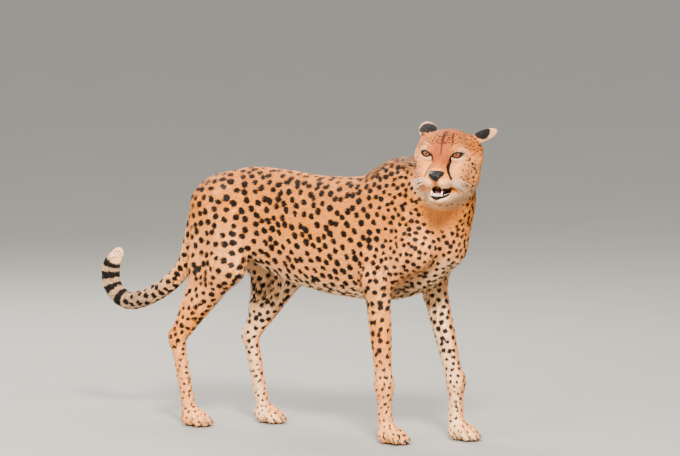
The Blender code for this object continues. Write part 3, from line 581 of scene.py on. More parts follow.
def stretch_of(place, local):
    """A spot's radius as a share of its spacing."""
    share = np.full(len(place), 0.410, np.float32)
    share = share + (0.38 - share) * ramp(place[:, 0], 0.16, 0.27)
    share = share + (0.29 - share) * ramp(-place[:, 2], -0.30, -0.12)
    away = np.linalg.norm(local - np.float32((-0.03, 0, -0.03)), axis=1)
    fleck = 0.230 + 0.150 * ramp(local[:, 2], -0.01, 0.03)
    return share + (fleck - share) * (1 - ramp(away, 0.085, 0.125))

def scattered(points, quads, weight, count, rng):
    """Random places on the faces, more of them where `weight` is high: (face, four corner shares)."""
    size = np.linalg.norm(face_normals(points, quads), axis=1) * weight
    total = np.cumsum(size)
    face = np.searchsorted(total, rng.random(count) * total[-1])
    u, v = rng.random((2, count))
    return face, np.stack([(1 - u) * (1 - v), u * (1 - v), u * v, (1 - u) * v], 1)

def at_faces(values, quads, face, share):
    """Values of the four corners of each face, mixed by `share`."""
    return (values[quads[face]] * share.reshape(share.shape + (1,) * (values.ndim - 1))).sum(1)

def spread_out(places, radius, kept=None, kept_radius=None):
    """Indices of places taken in turn, each at least its own radius from all those taken before."""
    taken = []
    stored = np.zeros((len(places), 3), np.float32)
    if kept is not None:
        clear = np.ones(len(places), bool)
        for part in np.array_split(np.arange(len(places)), 60):
            gap = np.linalg.norm(places[part][:, None] - kept[None], axis=2) - kept_radius[None]
            clear[part] = gap.min(1) > radius[part] * 0.35
        candidates = np.flatnonzero(clear)
    else:
        candidates = np.arange(len(places))
    for index in candidates:
        count = len(taken)
        away = stored[:count] - places[index]
        if count == 0 or (away * away).sum(1).min() > radius[index] ** 2:
            stored[count] = places[index]
            taken.append(index)
    return np.array(taken)

def evened(middles, places, rounds):
    """Moves each middle to the middle of the places nearest to it, and back onto the skin at one of them."""
    for _ in range(rounds):
        owner = np.concatenate([
            ((part[:, None] - middles[None]) ** 2).sum(-1).argmin(1) for part in np.array_split(places, 80)])
        counts = np.maximum(np.bincount(owner, minlength=len(middles)), 1)
        means = (np.stack([np.bincount(owner, places[:, i], len(middles)) for i in range(3)], 1)
                 / counts[:, None])
        away = ((places - means[owner]) ** 2).sum(1)
        order = np.lexsort((away, owner))
        first = np.r_[True, owner[order][1:] != owner[order][:-1]]
        middles = middles.copy()
        middles[owner[order][first]] = places[order][first]
    return middles

def make_spots(points, quads, normals):
    """Rows of the spots: place (3), long axis (3), radius, stretch, darkness. Each is set at random, then
    evened out, and stands across the lie of the coat."""
    rng = np.random.default_rng(11)
    local = turned(points, EYES, HEAD)
    gap = spacing(points, local)
    weight = 1 / gap[quads].mean(1) ** 2
    face, share = scattered(points, quads, weight, 34000, rng)
    places = at_faces(points, quads, face, share).astype(np.float32)
    normal = unit(at_faces(normals, quads, face, share))
    own_gap = at_faces(gap, quads, face, share)
    taken = spread_out(places, own_gap * 0.80)
    middles = evened(places[taken], places, 4)
    index = np.concatenate([((part[:, None] - places[None]) ** 2).sum(-1).argmin(1)
                            for part in np.array_split(middles, 60)])
    radius = (own_gap[index] * stretch_of(middles, turned(middles, EYES, HEAD))
              * rng.uniform(0.82, 1.08, len(middles)))
    between = spread_out(places[:15000], own_gap[:15000] * 0.75, middles, radius)
    small = own_gap[between] * rng.uniform(0.07, 0.13, len(between))
    middles = np.vstack([middles, places[between]])
    radius = np.concatenate([radius, small])
    index = np.concatenate([index, between])
    lie, _ = lie_of(middles, normal[index])
    across = np.cross(normal[index], lie)
    turn = rng.normal(0.55, 0.35, len(middles)) * np.sign(across[:, 2] + 1e-6)
    axis = across * np.cos(turn)[:, None] - lie * np.sin(np.abs(turn))[:, None]
    away = np.linalg.norm(turned(middles, EYES, HEAD) - np.float32((-0.03, 0, -0.03)), axis=1)
    stretch = rng.uniform(1.05, 1.30, len(middles)) + 0.9 * (1 - ramp(away, 0.085, 0.110))
    radius = radius / np.sqrt(stretch)
    dark = np.where(np.arange(len(middles)) < len(taken), rng.uniform(0.90, 1.0, len(middles)), 0.55)
    return np.vstack([np.column_stack([middles, unit(axis), radius, stretch, dark]),
                      cheek_spots(points)]).astype(np.float32)

def cheek_spots(points):
    """The larger spots in a row behind each eye and down the cheek, as rows like those of make_spots."""
    rows = np.array(CHEEK_SPOTS)
    both = np.vstack([rows[:, :3], rows[:, :3] * (1, -1, 1)])
    local = turned(points, EYES, HEAD)
    both = np.array([local[((local - place) ** 2).sum(1).argmin()] for place in both])
    lean = np.tile((-0.55, 0.0, -0.80), (len(both), 1)) @ HEAD
    return np.column_stack([both @ HEAD + np.array(EYES), unit(lean), np.tile(rows[:, 3], 2) * 1.2,
                            np.full(len(both), 1.35), np.ones(len(both))])

def spot_share(place, spots):
    """How dark the spots make each place: 1 inside the nearest ellipse, falling to 0 across its soft edge.
    Worked out slice by slice along the body."""
    dark = np.zeros(len(place), np.float32)
    slices = np.floor(place[:, 0] / 0.02).astype(int)
    order = np.argsort(slices, kind="stable")
    starts = np.flatnonzero(np.r_[True, np.diff(slices[order]) > 0])
    for start, end in zip(starts, np.r_[starts[1:], len(order)]):
        low = slices[order[start]] * 0.02
        local = spots[(spots[:, 0] > low - 0.016) & (spots[:, 0] < low + 0.036)]
        if not len(local):
            continue
        for part in np.array_split(order[start:end], max(1, (end - start) * len(local) // 2_000_000)):
            away = place[part][:, None] - local[None, :, :3]
            squared = (away * away).sum(-1)
            long = (away * local[None, :, 3:6]).sum(-1)
            squared += (1 / local[None, :, 7] ** 2 - 1) * long * long
            near = np.sqrt(squared) / local[None, :, 6]
            soft = np.clip((1.12 - near) / 0.24, 0, 1) * local[None, :, 8]
            dark[part] = soft.max(1)
    return dark

def markings(place, normal, spots):
    """Shares of each of MARKS at places in the animal's axes: black, brown, cream, orange, grey and bare skin.
    Orange also carries a painted shadow under the throat, where the spots are left out.
    """
    local = turned(place, EYES, HEAD)
    p = mirrored(local)
    forward, out, up = p[:, 0], p[:, 1], p[:, 2]
    seen = eye_axes(local)
    away = np.linalg.norm(local - np.float32((-0.02, 0, -0.03)), axis=1)
    head = 1 - ramp(away, 0.095, 0.125)
    front = ramp(forward, -0.045, -0.015) * head
    height, side = place[:, 2], np.abs(place[:, 1])

    rows = smooth_curve(TRUNK, 160)
    back, belly = (np.interp(place[:, 0], rows[:, 0], rows[:, i]) for i in (1, 2))
    level = (height - belly) / (back - belly)
    body_zone = 1 - ramp(away, 0.10, 0.14)
    cream = (1 - ramp(level, 0.02, 0.26)) * ramp(height, 0.30, 0.36) * ramp(-normal[:, 2], 0.0, 0.55)
    cream = cream * (1 - ramp(side, 0.070, 0.100))
    cream = np.maximum(cream, 0.22 * (1 - ramp(level, 0.15, 0.60)) * ramp(height, 0.30, 0.36))
    inner = (ramp(-normal[:, 1] * np.sign(place[:, 1]), 0.15, 0.75)
             * ramp(-height, -0.50, -0.42) * (side < 0.10))
    cream = np.maximum(cream, inner * 0.85)
    cream = np.maximum(cream, 0.28 * ramp(-height, -0.30, -0.12))
    tail, tail_away = along_tail(place)
    on_tail = 1 - ramp(tail_away, 0.030, 0.045)
    cream = np.where(on_tail > 0.5, np.maximum(cream * 0, 0.25 + 0.75 * ramp(tail, 0.30, 0.60)), cream)
    cream = cream * (1 - body_zone * 0.999)

    under_eye = 1 - ramp(to_line(p[:, 1:], ((0.030, -0.0118), (0.045, -0.0122), (0.056, -0.0070))),
                         0.0020, 0.0065)
    over_eye = 1 - ramp(to_line(p[:, 1:], ((0.046, 0.0145), (0.056, 0.0120), (0.062, 0.004))), 0.002, 0.008)
    beside = 1 - ramp(to_line(p[:, 1:], ((0.028, -0.022), (0.036, -0.040), (0.044, -0.058))), 0.003, 0.011)
    lip = ramp(forward, -0.005, 0.020) * (1 - ramp(up, -0.080, -0.070)) * ramp(up, -0.094, -0.088)
    chin = 1 - ramp(up, -0.104, -0.092)
    muzzle = (1 - ramp(to_line(p[:, 1:], ((0.012, -0.064), (0.034, -0.070))), 0.004, 0.014)) * 0.55
    ruff = (1 - ramp(up, -0.098, -0.055)) * ramp(out, 0.050, 0.072) * ramp(forward, -0.14, -0.10)
    face_cream = np.maximum.reduce([under_eye * front, over_eye * front * 0.45, beside * front * 0.30,
                                    lip, chin,
                                    muzzle * front, ruff * 0.80])
    cheek = 0.18 * ramp(out, 0.030, 0.050) * (1 - ramp(up, -0.02, 0.01))
    cream = np.maximum(cream, head * np.maximum(face_cream, cheek))

    ridge = 1 - ramp(to_line(place, MANE_LINE), 0.042, 0.095)
    grey = np.maximum(ridge * 0.95,
                      on_tail * 0.62 * ramp(tail, 0.35, 0.60) * (1 - ramp(tail, TAIL_TIP - 0.02, TAIL_TIP)))
    grey = np.maximum(grey, head * 0.22 * np.maximum(chin, ruff))
    grey = np.maximum(grey, 0.24 * ramp(level, 0.70, 1.0) * (1 - head) * (on_tail < 0.5))

    orange = np.maximum(ramp(level, 0.40, 0.95) * 0.30, 0.25 * ramp(place[:, 0], 0.15, 0.28))
    forehead = ((1 - ramp(out, 0.012, 0.052)) * ramp(up, -0.062, -0.010)
                * (1 - 0.45 * ramp(up, 0.035, 0.070)) * front)
    temple = 0.72 * ramp(up, -0.035, 0.015)
    orange = orange * (1 - head) + head * np.maximum.reduce([forehead, temple,
                                                             0.42 * ramp(out, 0.035, 0.060)])

    spot = spot_share(place, spots)
    plain = front * (1 - ramp(out, 0.046, 0.056)) * (1 - ramp(up, 0.018, 0.030))
    plain = np.maximum(plain, front * (1 - ramp(up, -0.100, -0.088)))
    # Painted shadow under the chin, on the right of the neck only: the spots are left out there and the coat is
    # coloured a darker orange.
    throat_shadow = (1 - ramp(np.linalg.norm(place - np.float32((0.400, -0.085, 0.610)), axis=1), 0.045, 0.075))
    plain = np.maximum(plain, throat_shadow * (1 - head))
    orange = np.maximum(orange, 0.62 * throat_shadow * (1 - head))
    eye_zone = 1 - ramp(almond(seen), 0.010, 0.016)
    plain = np.maximum(plain, eye_zone * front)
    spot = spot * (1 - plain)
    spot = np.where((on_tail > 0.5) & (tail > 0.66), 0, spot)
    rings = np.max([1 - ramp(np.abs(tail - ring), RING_HALF * 0.75, RING_HALF * 1.15)
                    for ring in TAIL_RINGS], 0)
    spot = np.maximum(spot, rings * (on_tail > 0.5))

    stripe = (1 - ramp(to_line(p[:, 1:], MEDIAN_STRIPE), 0.0012, 0.0036)) * front * ramp(up, -0.020, 0.015)
    streak = (1 - ramp(to_line(p[:, 1:], BROW_STREAK), 0.0012, 0.0034)) * front * ramp(up, 0.012, 0.026)
    brown = np.maximum(stripe * 0.95, streak * (0.45 + 0.40 * (local[:, 1] > 0)))

    rim = 1 - ramp(almond(seen) - 0.0016 * ramp(seen[:, 2], -0.002, 0.004), 0.0012, 0.0022)
    corner = 1 - ramp(to_line(seen[:, 1:], ((LID_WIDE - 0.001, 0.0004), (LID_WIDE + 0.0035, 0.0012))),
                      0.0010, 0.0022)
    tear = 1 - ramp(to_line(p[:, 1:], TEAR_LINE) + 0.0008 * ramp(-up, 0.03, 0.06), 0.0020, 0.0034)
    open_mouth = mouth(local)
    lips = (1 - ramp(open_mouth, 0.0034, 0.0056)) * ramp(forward, -0.014, -0.004)
    lower_lip = lips * (1 - ramp(up, -0.102, -0.098))
    lips = np.maximum(lips * (1 - ramp(open_mouth, 0.0012, 0.0030)), lower_lip)
    facing = ramp((normal @ HEAD.T)[:, 0], -0.25, 0.10)
    black = np.maximum.reduce([spot, rim * front * (seen[:, 0] > 0), corner * front,
                               tear * front * facing, lips * head])

    ears_black, ears_cream = ear_marks(local, normal)
    black = np.maximum(black * (1 - ears_cream), ears_black)
    cream = np.maximum(cream, ears_cream * 0.75)
    soles = (1 - ramp(height, 0.0025, 0.0045))
    black = np.maximum(black, soles)
    inside = 1 - ramp(open_mouth, -0.0004, 0.0006)
    lids = (1 - ramp(almond(seen), 0.0006, 0.0014)) * (seen[:, 0] > 0)
    leather = (forward > 0.055) & (out < nose_half(up) - 0.0012) & (up < -0.0380)
    black = np.maximum(black, leather)
    bare = np.maximum.reduce([soles, leather, head * lids, head * inside,
                              lips * head * ramp(-open_mouth, -0.0045, -0.0030)])
    marks = [black, brown, cream, orange, grey, bare, inside * head]
    return np.clip(np.stack(marks, 1), 0, 1).astype(np.float32)

MARKS = ("black", "brown", "cream", "orange", "grey", "bare", "mouth")

def nose_half(up):
    """Half the width of the nose leather at that height in the head's axes."""
    return np.interp(up, (-0.069, -0.060, -0.045, -0.036), (0.0, 0.0100, 0.0205, 0.0190))

def ear_marks(local, normal):
    """Black over each ear's back, and cream along its edge, at its tip and inside it."""
    black = np.zeros(len(local), np.float32)
    cream = np.zeros(len(local), np.float32)
    turned_normal = normal @ HEAD.T
    for root, out, back in EARS:
        axes = frame_of(out, back)
        own = turned(local, root, axes)
        near = 1 - ramp(np.abs(one_ear(local, root, out, back)), 0.006, 0.011)
        near = near * ramp(own[:, 0], 0.004, 0.014)
        behind = ramp(turned_normal @ axes[2], -0.05, 0.25)
        reach = np.hypot((own[:, 0] / EAR_LENGTH - 0.46) / 0.34, own[:, 1] / (EAR_WIDTH * 0.54))
        patch = (1 - ramp(reach, 0.80, 1.0)) * behind
        black = np.maximum(black, near * patch)
        cream = np.maximum(cream, near * (1 - patch) * ramp(own[:, 0], 0.012, 0.024))
    return black, cream

# ---- Meshes from arrays ----

def make_object(name, points, faces, looks, material, replaced=()):
    """An object of these points and of faces given as arrays with a column for each corner, shaded smooth. It
    rides on the body, and `looks` holds an attribute for each name."""
    mesh = bpy.data.meshes.new(name)
    corners = np.concatenate([part.ravel() for part in faces]).astype(np.int32)
    sizes = np.concatenate([np.full(len(part), part.shape[1]) for part in faces])
    mesh.vertices.add(len(points))
    mesh.vertices.foreach_set("co", np.asarray(points, np.float32).ravel())
    mesh.loops.add(len(corners))
    mesh.loops.foreach_set("vertex_index", corners)
    mesh.polygons.add(len(sizes))
    mesh.polygons.foreach_set("loop_start", (np.cumsum(sizes) - sizes).astype(np.int32))
    for key, values in looks.items():
        layer = mesh.attributes.new(key, "FLOAT", "POINT")
        layer.data.foreach_set("value", np.ascontiguousarray(values, np.float32))
    mesh.update(calc_edges=True)
    mesh.shade_smooth()
    mesh.materials.append(material)
    old = bpy.data.objects.get(name)
    if old:
        bpy.data.objects.remove(old, do_unlink=True)
    obj = bpy.data.objects.new(name, mesh)
    bpy.context.scene.collection.objects.link(obj)
    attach(obj, "root")
    if replaced:
        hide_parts(*replaced)
    return obj, corners

def spindles(line, across, rise, sides):
    """Closed rods that are pointed at both ends: points (n, 2 + rings * sides, 3), three-sided and four-sided faces.
    `line` (n, rows, 3) is the middle line, and the ring of each inner row is line + across cos a + rise sin a.
    `across` x `rise` points along the line."""
    count, rows = line.shape[:2]
    rings = rows - 2
    angle = 2 * pi * (np.arange(sides) + 0.25 * (sides == 3)) / sides + (pi / 3 if sides == 3 else 0)
    angle = angle.reshape(1, 1, sides, 1)
    ring = line[:, 1:-1, None] + across[:, 1:-1, None] * np.cos(angle) + rise[:, 1:-1, None] * np.sin(angle)
    points = np.concatenate([line[:, :1], ring.reshape(count, rings * sides, 3), line[:, -1:]], 1)
    each = 2 + rings * sides
    first = (np.arange(count) * each)[:, None, None]
    side = np.arange(sides)
    after = (side + 1) % sides
    root = np.stack([np.zeros(sides, int), 1 + after, 1 + side], -1)
    last = 1 + (rings - 1) * sides
    tip = np.stack([last + side, last + after, np.full(sides, each - 1)], -1)
    three = (np.concatenate([root, tip])[None] + first).reshape(-1, 3)
    band = np.stack([1 + side, 1 + after, 1 + after + sides, 1 + side + sides], -1)
    bands = (band[None] + (np.arange(rings - 1) * sides)[:, None, None]).reshape(-1, 4)
    four = (bands[None] + first).reshape(-1, 4)
    return points, three, four

def rods(line, radius, sides, flat=1.0):
    """Spindles along lines (n, rows, 3) with radii (n, rows): their first and last rows are points."""
    tangent = unit(np.gradient(line, axis=1))
    hint = np.where(np.abs(tangent[..., 2:]) > 0.9, (1.0, 0, 0), (0, 0, 1.0))
    across = unit(np.cross(hint, tangent))
    rise = np.cross(tangent, across)
    return spindles(line, across * radius[..., None], rise * radius[..., None] * flat, sides)

def grid_faces(rows, columns, wrap_rows=False, wrap_columns=False):
    """Four-sided faces of a grid of points stored row by row, joined round where told."""
    row = np.arange(rows if wrap_rows else rows - 1)[:, None]
    column = np.arange(columns if wrap_columns else columns - 1)[None]
    below, right = (row + 1) % rows, (column + 1) % columns
    return np.stack([row * columns + column, row * columns + right, below * columns + right,
                     below * columns + column], -1).reshape(-1, 4)

def to_model(points):
    """Places in the head's axes, brought to the model's frame."""
    return np.asarray(points, float) @ HEAD + np.array(EYES) + np.array(SHIFT)

# ---- Tufts ----

COAT_PIECES = (                    # name, its tufts, rings in each
    ("coat_face", 31000, 1),
    ("coat_crown", 25000, 1),
    ("coat_ear_left", 5000, 1),
    ("coat_ear_right", 5000, 1),
    ("coat_neck", 22000, 1),
    ("coat_mane", 4500, 3),
    ("coat_trunk_left", 30000, 1),
    ("coat_trunk_right", 30000, 1),
    ("coat_front_left", 14000, 1),
    ("coat_front_right", 14000, 1),
    ("coat_hind_left", 19000, 1),
    ("coat_hind_right", 19000, 1),
    ("coat_tail", 9000, 2),
)
FACE_EDGE = -0.040                 # where the face's coat gives way to the crown's, in the head's axes
PATCH = 0.0015                     # half the size of a tuft's patch on the bake's map

def piece_of(place, part):
    """The index in COAT_PIECES of the piece that clothes each place."""
    local = turned(place, EYES, HEAD)
    names = [name for name, _, _ in COAT_PIECES]
    left = place[:, 1] > 0
    chosen = np.zeros(len(place), int)
    for index, name in enumerate(PART_NAMES):
        here = part == index
        if name == "head":
            chosen[here] = np.where(local[here, 0] > FACE_EDGE, names.index("coat_face"),
                                    names.index("coat_crown"))
        elif name == "trunk":
            chosen[here] = np.where(left[here], names.index("coat_trunk_left"),
                                    names.index("coat_trunk_right"))
        else:
            chosen[here] = names.index(f"coat_{name}")
    return chosen

def coat_length(place, local):
    """How long the tufts are: shortest on the muzzle and feet, longest under the belly, on the ruff and the tail."""
    height = place[:, 2]
    length = 0.0048 + 0.0027 * ramp(height, 0.05, 0.20) + 0.0020 * ramp(height, 0.25, 0.45)
    tail = ramp(-place[:, 0], 0.41, 0.45)
    length = length + (0.0150 - length) * tail
    belly = ((1 - ramp(height, 0.38, 0.42)) * ramp(height, 0.31, 0.34)
             * (np.abs(place[:, 1]) < 0.07) * (1 - tail))
    length = length + (0.0210 - length) * belly
    away = np.linalg.norm(local - np.float32((0.03, 0, -0.035)), axis=1)
    face = 1 - ramp(away, 0.09, 0.16)
    short = 0.0034 + 0.0046 * ramp(away, 0.045, 0.12) + 0.004 * ramp(-local[:, 2], 0.085, 0.12)
    short = short - 0.0054 * ramp(local[:, 2], 0.044, 0.060)
    return length + (short - length) * face

def round_line(place, points):
    """Turn about a line of points that runs down in height, and the height."""
    rows = np.array(sorted(points, key=lambda point: point[2]), float)
    x, y = (np.interp(place[:, 2], rows[:, 2], rows[:, i]) for i in (0, 1))
    return np.stack([np.arctan2(place[:, 1] - y, place[:, 0] - x) / (2 * pi), place[:, 2]], 1)

def round_trunk(place):
    """Turn about the trunk's middle, and the place along it."""
    return np.stack([np.arctan2(place[:, 1], place[:, 2] - 0.55) / (2 * pi), place[:, 0]], 1)

def round_tail(place):
    """Turn about the tail's middle line, and the share of its length."""
    rows = smooth_curve(TAIL, 200)[:, :3]
    nearest = np.concatenate([((part[:, None] - rows[None]) ** 2).sum(-1).argmin(1)
                              for part in np.array_split(place, 20)])
    away = place - rows[nearest]
    along = unit(np.gradient(rows, axis=0))[nearest]
    square = np.cross(along, (0.0, 1.0, 0.0))
    return np.stack([np.arctan2((away * square).sum(1), away[:, 1]) / (2 * pi), nearest / len(rows)], 1)

def round_point(place, middle, axis):
    """Round map about `axis`: the angle from it is the distance from the map's middle."""
    axes = frame_of(axis, (0.1, 0.2, 1))
    way = unit(turned(place, middle, axes))
    angle = np.arccos(np.clip(way[:, 0], -1, 1))
    turn = np.arctan2(way[:, 2], way[:, 1])
    return np.stack([angle * np.cos(turn), angle * np.sin(turn)], 1)

def unwrapped(name, place):
    """The place of each root on an unwrap of the part that it grows on, scaled to fill the map."""
    if name in ("coat_face", "coat_crown"):
        axis = HEAD[0] if name == "coat_face" else -0.7 * HEAD[0] + 0.7 * HEAD[2]
        flat = round_point(place, from_head((-0.04, 0, -0.035)), axis)
    elif name.startswith("coat_ear"):
        root, out, back = EARS[name.endswith("right")]
        middle = np.array(root) + unit(np.array(out)) * EAR_LENGTH * 0.45 - unit(np.array(back)) * 0.003
        flat = round_point(place, from_head(middle), HEAD.T @ np.array(back))
    elif name == "coat_tail":
        flat = round_tail(place)
    elif name.startswith(("coat_front", "coat_hind")):
        steps, joints, top = ((FORE_STEPS, fore_joints, SHOULDER) if "front" in name
                              else (HIND_STEPS, hind_joints, HIP))
        side, step = steps[name.endswith("right")]
        line = [top, *joints(step), (joints(step)[2][0] + 0.02, joints(step)[2][1], 0)]
        flat = round_line(place, np.array(line) * (1, side, 1))
    else:
        flat = round_trunk(place)
    low, high = flat.min(0), flat.max(0)
    return 0.01 + 0.98 * (flat - low) / (high - low)

def skin_arrays():
    """Points, faces and normals of the skin piece, in the animal's axes."""
    skin = bpy.data.objects.get("skin")
    if skin is None:
        raise RuntimeError("make the skin before the coat")
    mesh = skin.data
    points = np.empty(len(mesh.vertices) * 3, np.float32)
    mesh.vertices.foreach_get("co", points)
    quads = np.empty(len(mesh.loops), np.int32)
    mesh.loops.foreach_get("vertex_index", quads)
    points, quads = points.reshape(-1, 3).astype(float), quads.reshape(-1, 4)
    return points - SHIFT, quads, point_normals(points, quads)

def settled(place, normal, height, reach):
    """Places moved along their root's normal until they are `height` over the skin, by `reach` at most."""
    for _ in range(2):
        over = skin_field(place + np.array(SHIFT))
        place = place + normal * np.clip(height - over, -reach, reach)[:, None]
    return place

def tuft_lines(place, normal, lie, length, lift, rings, rng):
    """The middle line of each tuft: out of the skin, bent down along the lie, its tip at the coat's full depth."""
    count = len(place)
    across = np.cross(normal, lie)
    lie = unit(lie + across * rng.normal(0, 0.16, count)[:, None])
    share = np.linspace(0, 1, rings + 2)
    if rings == 1:
        share[1] = 0.42
    bend = rng.normal(0, 0.10, count)
    rows = [place - normal * 0.0008]
    for t in share[1:]:
        height = lift * (1 - (1 - t) ** 2)
        away = place + (lie * t + across * (bend * t * t)[:, None]) * length[:, None]
        rows.append(settled(away, normal, height, length * 0.35))
    return np.stack(rows, 1), share

def make_coat(piece, count, rings, chosen, arrays, spots, settings, material):
    """One piece of the coat: tufts from random roots on the skin of its part, marked as the skin is below them."""
    points, quads, normals, lie, bare, local = arrays
    rng = np.random.default_rng(len(piece) * 7 + count)
    count = int(count * settings.fullness * (1))
    length = coat_length(points, local)
    if piece.startswith("coat_ear"):
        length = length * 0.6
    depth = coat_depth(points, local)
    if piece == "coat_mane":
        mane = 1 - ramp(to_line(points, MANE_LINE), 0.022, 0.060)
        weight = np.where(points[:, 2] > 0.60, mane, 0)[quads].mean(1) ** 0.5
        lie = unit(lie + normals * 0.25 + (-0.25, 0, 0.1))
        length = np.full(len(points), 0.026)
        depth = depth + 0.004 * mane
    else:
        weight = (chosen[quads[:, 0]] == [name for name, _, _ in COAT_PIECES].index(piece)).astype(float)
        weight = weight * (0.012 / length[quads].mean(1)) ** 1.2
    weight = weight * (bare[quads].max(1) < 0.35)
    face, share = scattered(points, quads, weight, count, rng)
    place, normal, way = (at_faces(values, quads, face, share) for values in (points, normals, lie))
    normal, way = unit(normal), unit(way)
    long = at_faces(length, quads, face, share) * settings.length * rng.uniform(0.75, 1.2, count)
    lift = at_faces(depth, quads, face, share) * rng.uniform(0.65, 1.0, count)
    line, along = tuft_lines(place, normal, way, long, lift, rings, rng)
    half = long * settings.width * rng.uniform(0.8, 1.2, count)
    side = unit(np.cross(normal, way) + normal * rng.normal(0, 0.22, count)[:, None])
    taper = np.sin(np.clip(along * 0.72 + 0.28, 0, 1) * pi) ** 0.8 if rings > 1 else np.array((0, 1, 0))
    wide = side[:, None] * half[:, None, None] * taper[None, :, None]
    thick = normal[:, None] * (half * 0.32)[:, None, None] * taper[None, :, None]
    solid, three, four = spindles(line, wide, thick, 3)
    solid[..., 2] = np.maximum(solid[..., 2], 0.0004)
    drift = rng.normal(0, 0.0005, (count, 3))
    row_of = np.concatenate([[0], np.repeat(np.arange(1, rings + 1), 3), [rings + 1]])
    under = line - normal[:, None] * (lift[:, None] * along[None])[..., None] + drift[:, None]
    under = under.reshape(-1, 3)
    marks = markings(under, np.repeat(normal, rings + 2, 0), spots).reshape(count, rings + 2, -1)[:, row_of]
    looks = {name: marks[..., i].ravel() for i, name in enumerate(MARKS[:5])}
    looks["along"] = np.tile(along[row_of], count)
    looks["vary"] = np.repeat(rng.random(count), len(row_of))
    faces = [three] if rings == 1 else [three, four]
    obj, corners = make_object(piece, solid.reshape(-1, 3) + SHIFT, faces, looks, material)
    cross_map = np.concatenate([[0], np.tile((0.0, -0.87, 0.87), rings), [0]])
    across_patch = np.stack([cross_map, along[row_of] * 2 - 1], -1)[None]
    spot_on_map = unwrapped(piece, place)[:, None] + PATCH * across_patch
    layer = obj.data.uv_layers.new(name="OFBake")
    layer.uv.foreach_set("vector", spot_on_map.reshape(-1, 2)[corners].astype(np.float32).ravel())
    return obj

# ---- Materials ----

def linear(red, green, blue):
    """A colour in steps from 0 to 255 as the shader's linear values."""
    return tuple(((value / 255 + 0.055) / 1.055) ** 2.4 for value in (red, green, blue))

class Socket:
    """A number that varies over a surface. Arithmetic on it adds Math nodes."""

    def __init__(self, paint, link):
        self.paint = paint
        self.link = link

    def math(self, operation, first, second=0.0):
        """A Math node on two numbers or sockets."""
        return self.paint.node("ShaderNodeMath", {"operation": operation}, {0: first, 1: second})

    def __add__(self, other):
        return self.math("ADD", self, other)

    def __radd__(self, other):
        return self.math("ADD", other, self)

    def __sub__(self, other):
        return self.math("SUBTRACT", self, other)

    def __rsub__(self, other):
        return self.math("SUBTRACT", other, self)

    def __mul__(self, other):
        return self.math("MULTIPLY", self, other)

    def __rmul__(self, other):
        return self.math("MULTIPLY", other, self)

    def between(self, low, high):
        """0 below `low`, 1 above `high`, smooth between."""
        return self.paint.node("ShaderNodeMapRange", {"interpolation_type": "SMOOTHSTEP"},
                               {"Value": self, "From Min": low, "From Max": high})

class Paint:
    """A material under construction, with its Principled shader."""

    def __init__(self, name, **constants):
        self.material = bpy.data.materials.new(name)
        self.material.use_nodes = True
        self.tree = self.material.node_tree
        self.shader = self.tree.nodes["Principled BSDF"]
        for socket, value in constants.items():
            self.shader.inputs[socket.replace("_", " ")].default_value = value

    def node(self, kind, settings, values, output=0):
        """A node of this type, with its settings, then the values or links of its sockets."""
        made = self.tree.nodes.new(kind)
        for name, value in settings.items():
            setattr(made, name, value)
        for socket, value in values.items():
            if isinstance(value, Socket):
                self.tree.links.new(value.link, made.inputs[socket])
            else:
                made.inputs[socket].default_value = value
        return Socket(self, made.outputs[output])

    def mask(self, name):
        """The piece's own attribute of that name."""
        return self.node("ShaderNodeAttribute", {"attribute_name": name}, {}, "Fac")

    def places(self, scale=(1, 1, 1)):
        """Object coordinates, scaled."""
        raw = self.node("ShaderNodeTexCoord", {}, {}, "Object")
        return self.node("ShaderNodeMapping", {}, {"Vector": raw, "Scale": scale})

    def noise(self, size, detail=2.0, rough=0.5, where=None):
        """Noise whose features are about `size` metres."""
        values = {"Vector": where or self.places(), "Scale": 1 / size, "Detail": detail, "Roughness": rough}
        return self.node("ShaderNodeTexNoise", {}, values)

    def mix(self, share, first, second):
        """`first` where `share` is 0 and `second` where it is 1; each a colour or a link."""
        values = {0: share}
        for socket, colour in ((6, first), (7, second)):
            values[socket] = colour if isinstance(colour, Socket) else (*colour, 1)
        return self.node("ShaderNodeMix", {"data_type": "RGBA", "clamp_factor": True}, values, 2)

    def scaled(self, colour, factor):
        """A colour made darker or lighter by a number."""
        return self.node("ShaderNodeVectorMath", {"operation": "SCALE"}, {0: colour, "Scale": factor})

    def bump(self, height, depth, strength=1.0):
        """Feeds the shader's Normal from a height, where 1 is `depth` metres."""
        normal = self.node("ShaderNodeBump", {}, {"Height": height, "Distance": depth, "Strength": strength})
        self.feed("Normal", normal)

    def feed(self, socket, value):
        """Links a value to the shader."""
        self.tree.links.new(value.link, self.shader.inputs[socket])

def coat_colour(paint, colours, along, vary):
    """The coat's colour: tan, with the shares of orange, cream, grey, brown and black that the marks give,
    darker at a tuft's root and a little different from tuft to tuft."""
    patches = paint.noise(0.050, 2.0)
    base = paint.mix(patches.between(0.35, 0.70) * 0.10, colours.tan, colours.cream)
    base = paint.mix(paint.mask("orange"), base, colours.orange)
    base = paint.mix(paint.mask("cream"), base, colours.cream)
    base = paint.mix(paint.mask("grey"), base, colours.grey)
    base = paint.mix((vary - 0.5) * 0.3, base, colours.pale_tip)
    base = paint.scaled(base, 0.76 + along * 0.34 + (vary - 0.5) * 0.24)
    base = paint.mix(paint.mask("brown"), base, colours.brown)
    return paint.mix(paint.mask("black").between(0.25, 0.75), base, colours.black)

def coat_material(colours):
    """Tufts of hair: dull, with a faint sheen."""
    paint = Paint("coat_hair", Roughness=0.70, Specular_IOR_Level=0.15)
    paint.feed("Base Color", coat_colour(paint, colours, paint.mask("along"), paint.mask("vary")))
    return paint.material

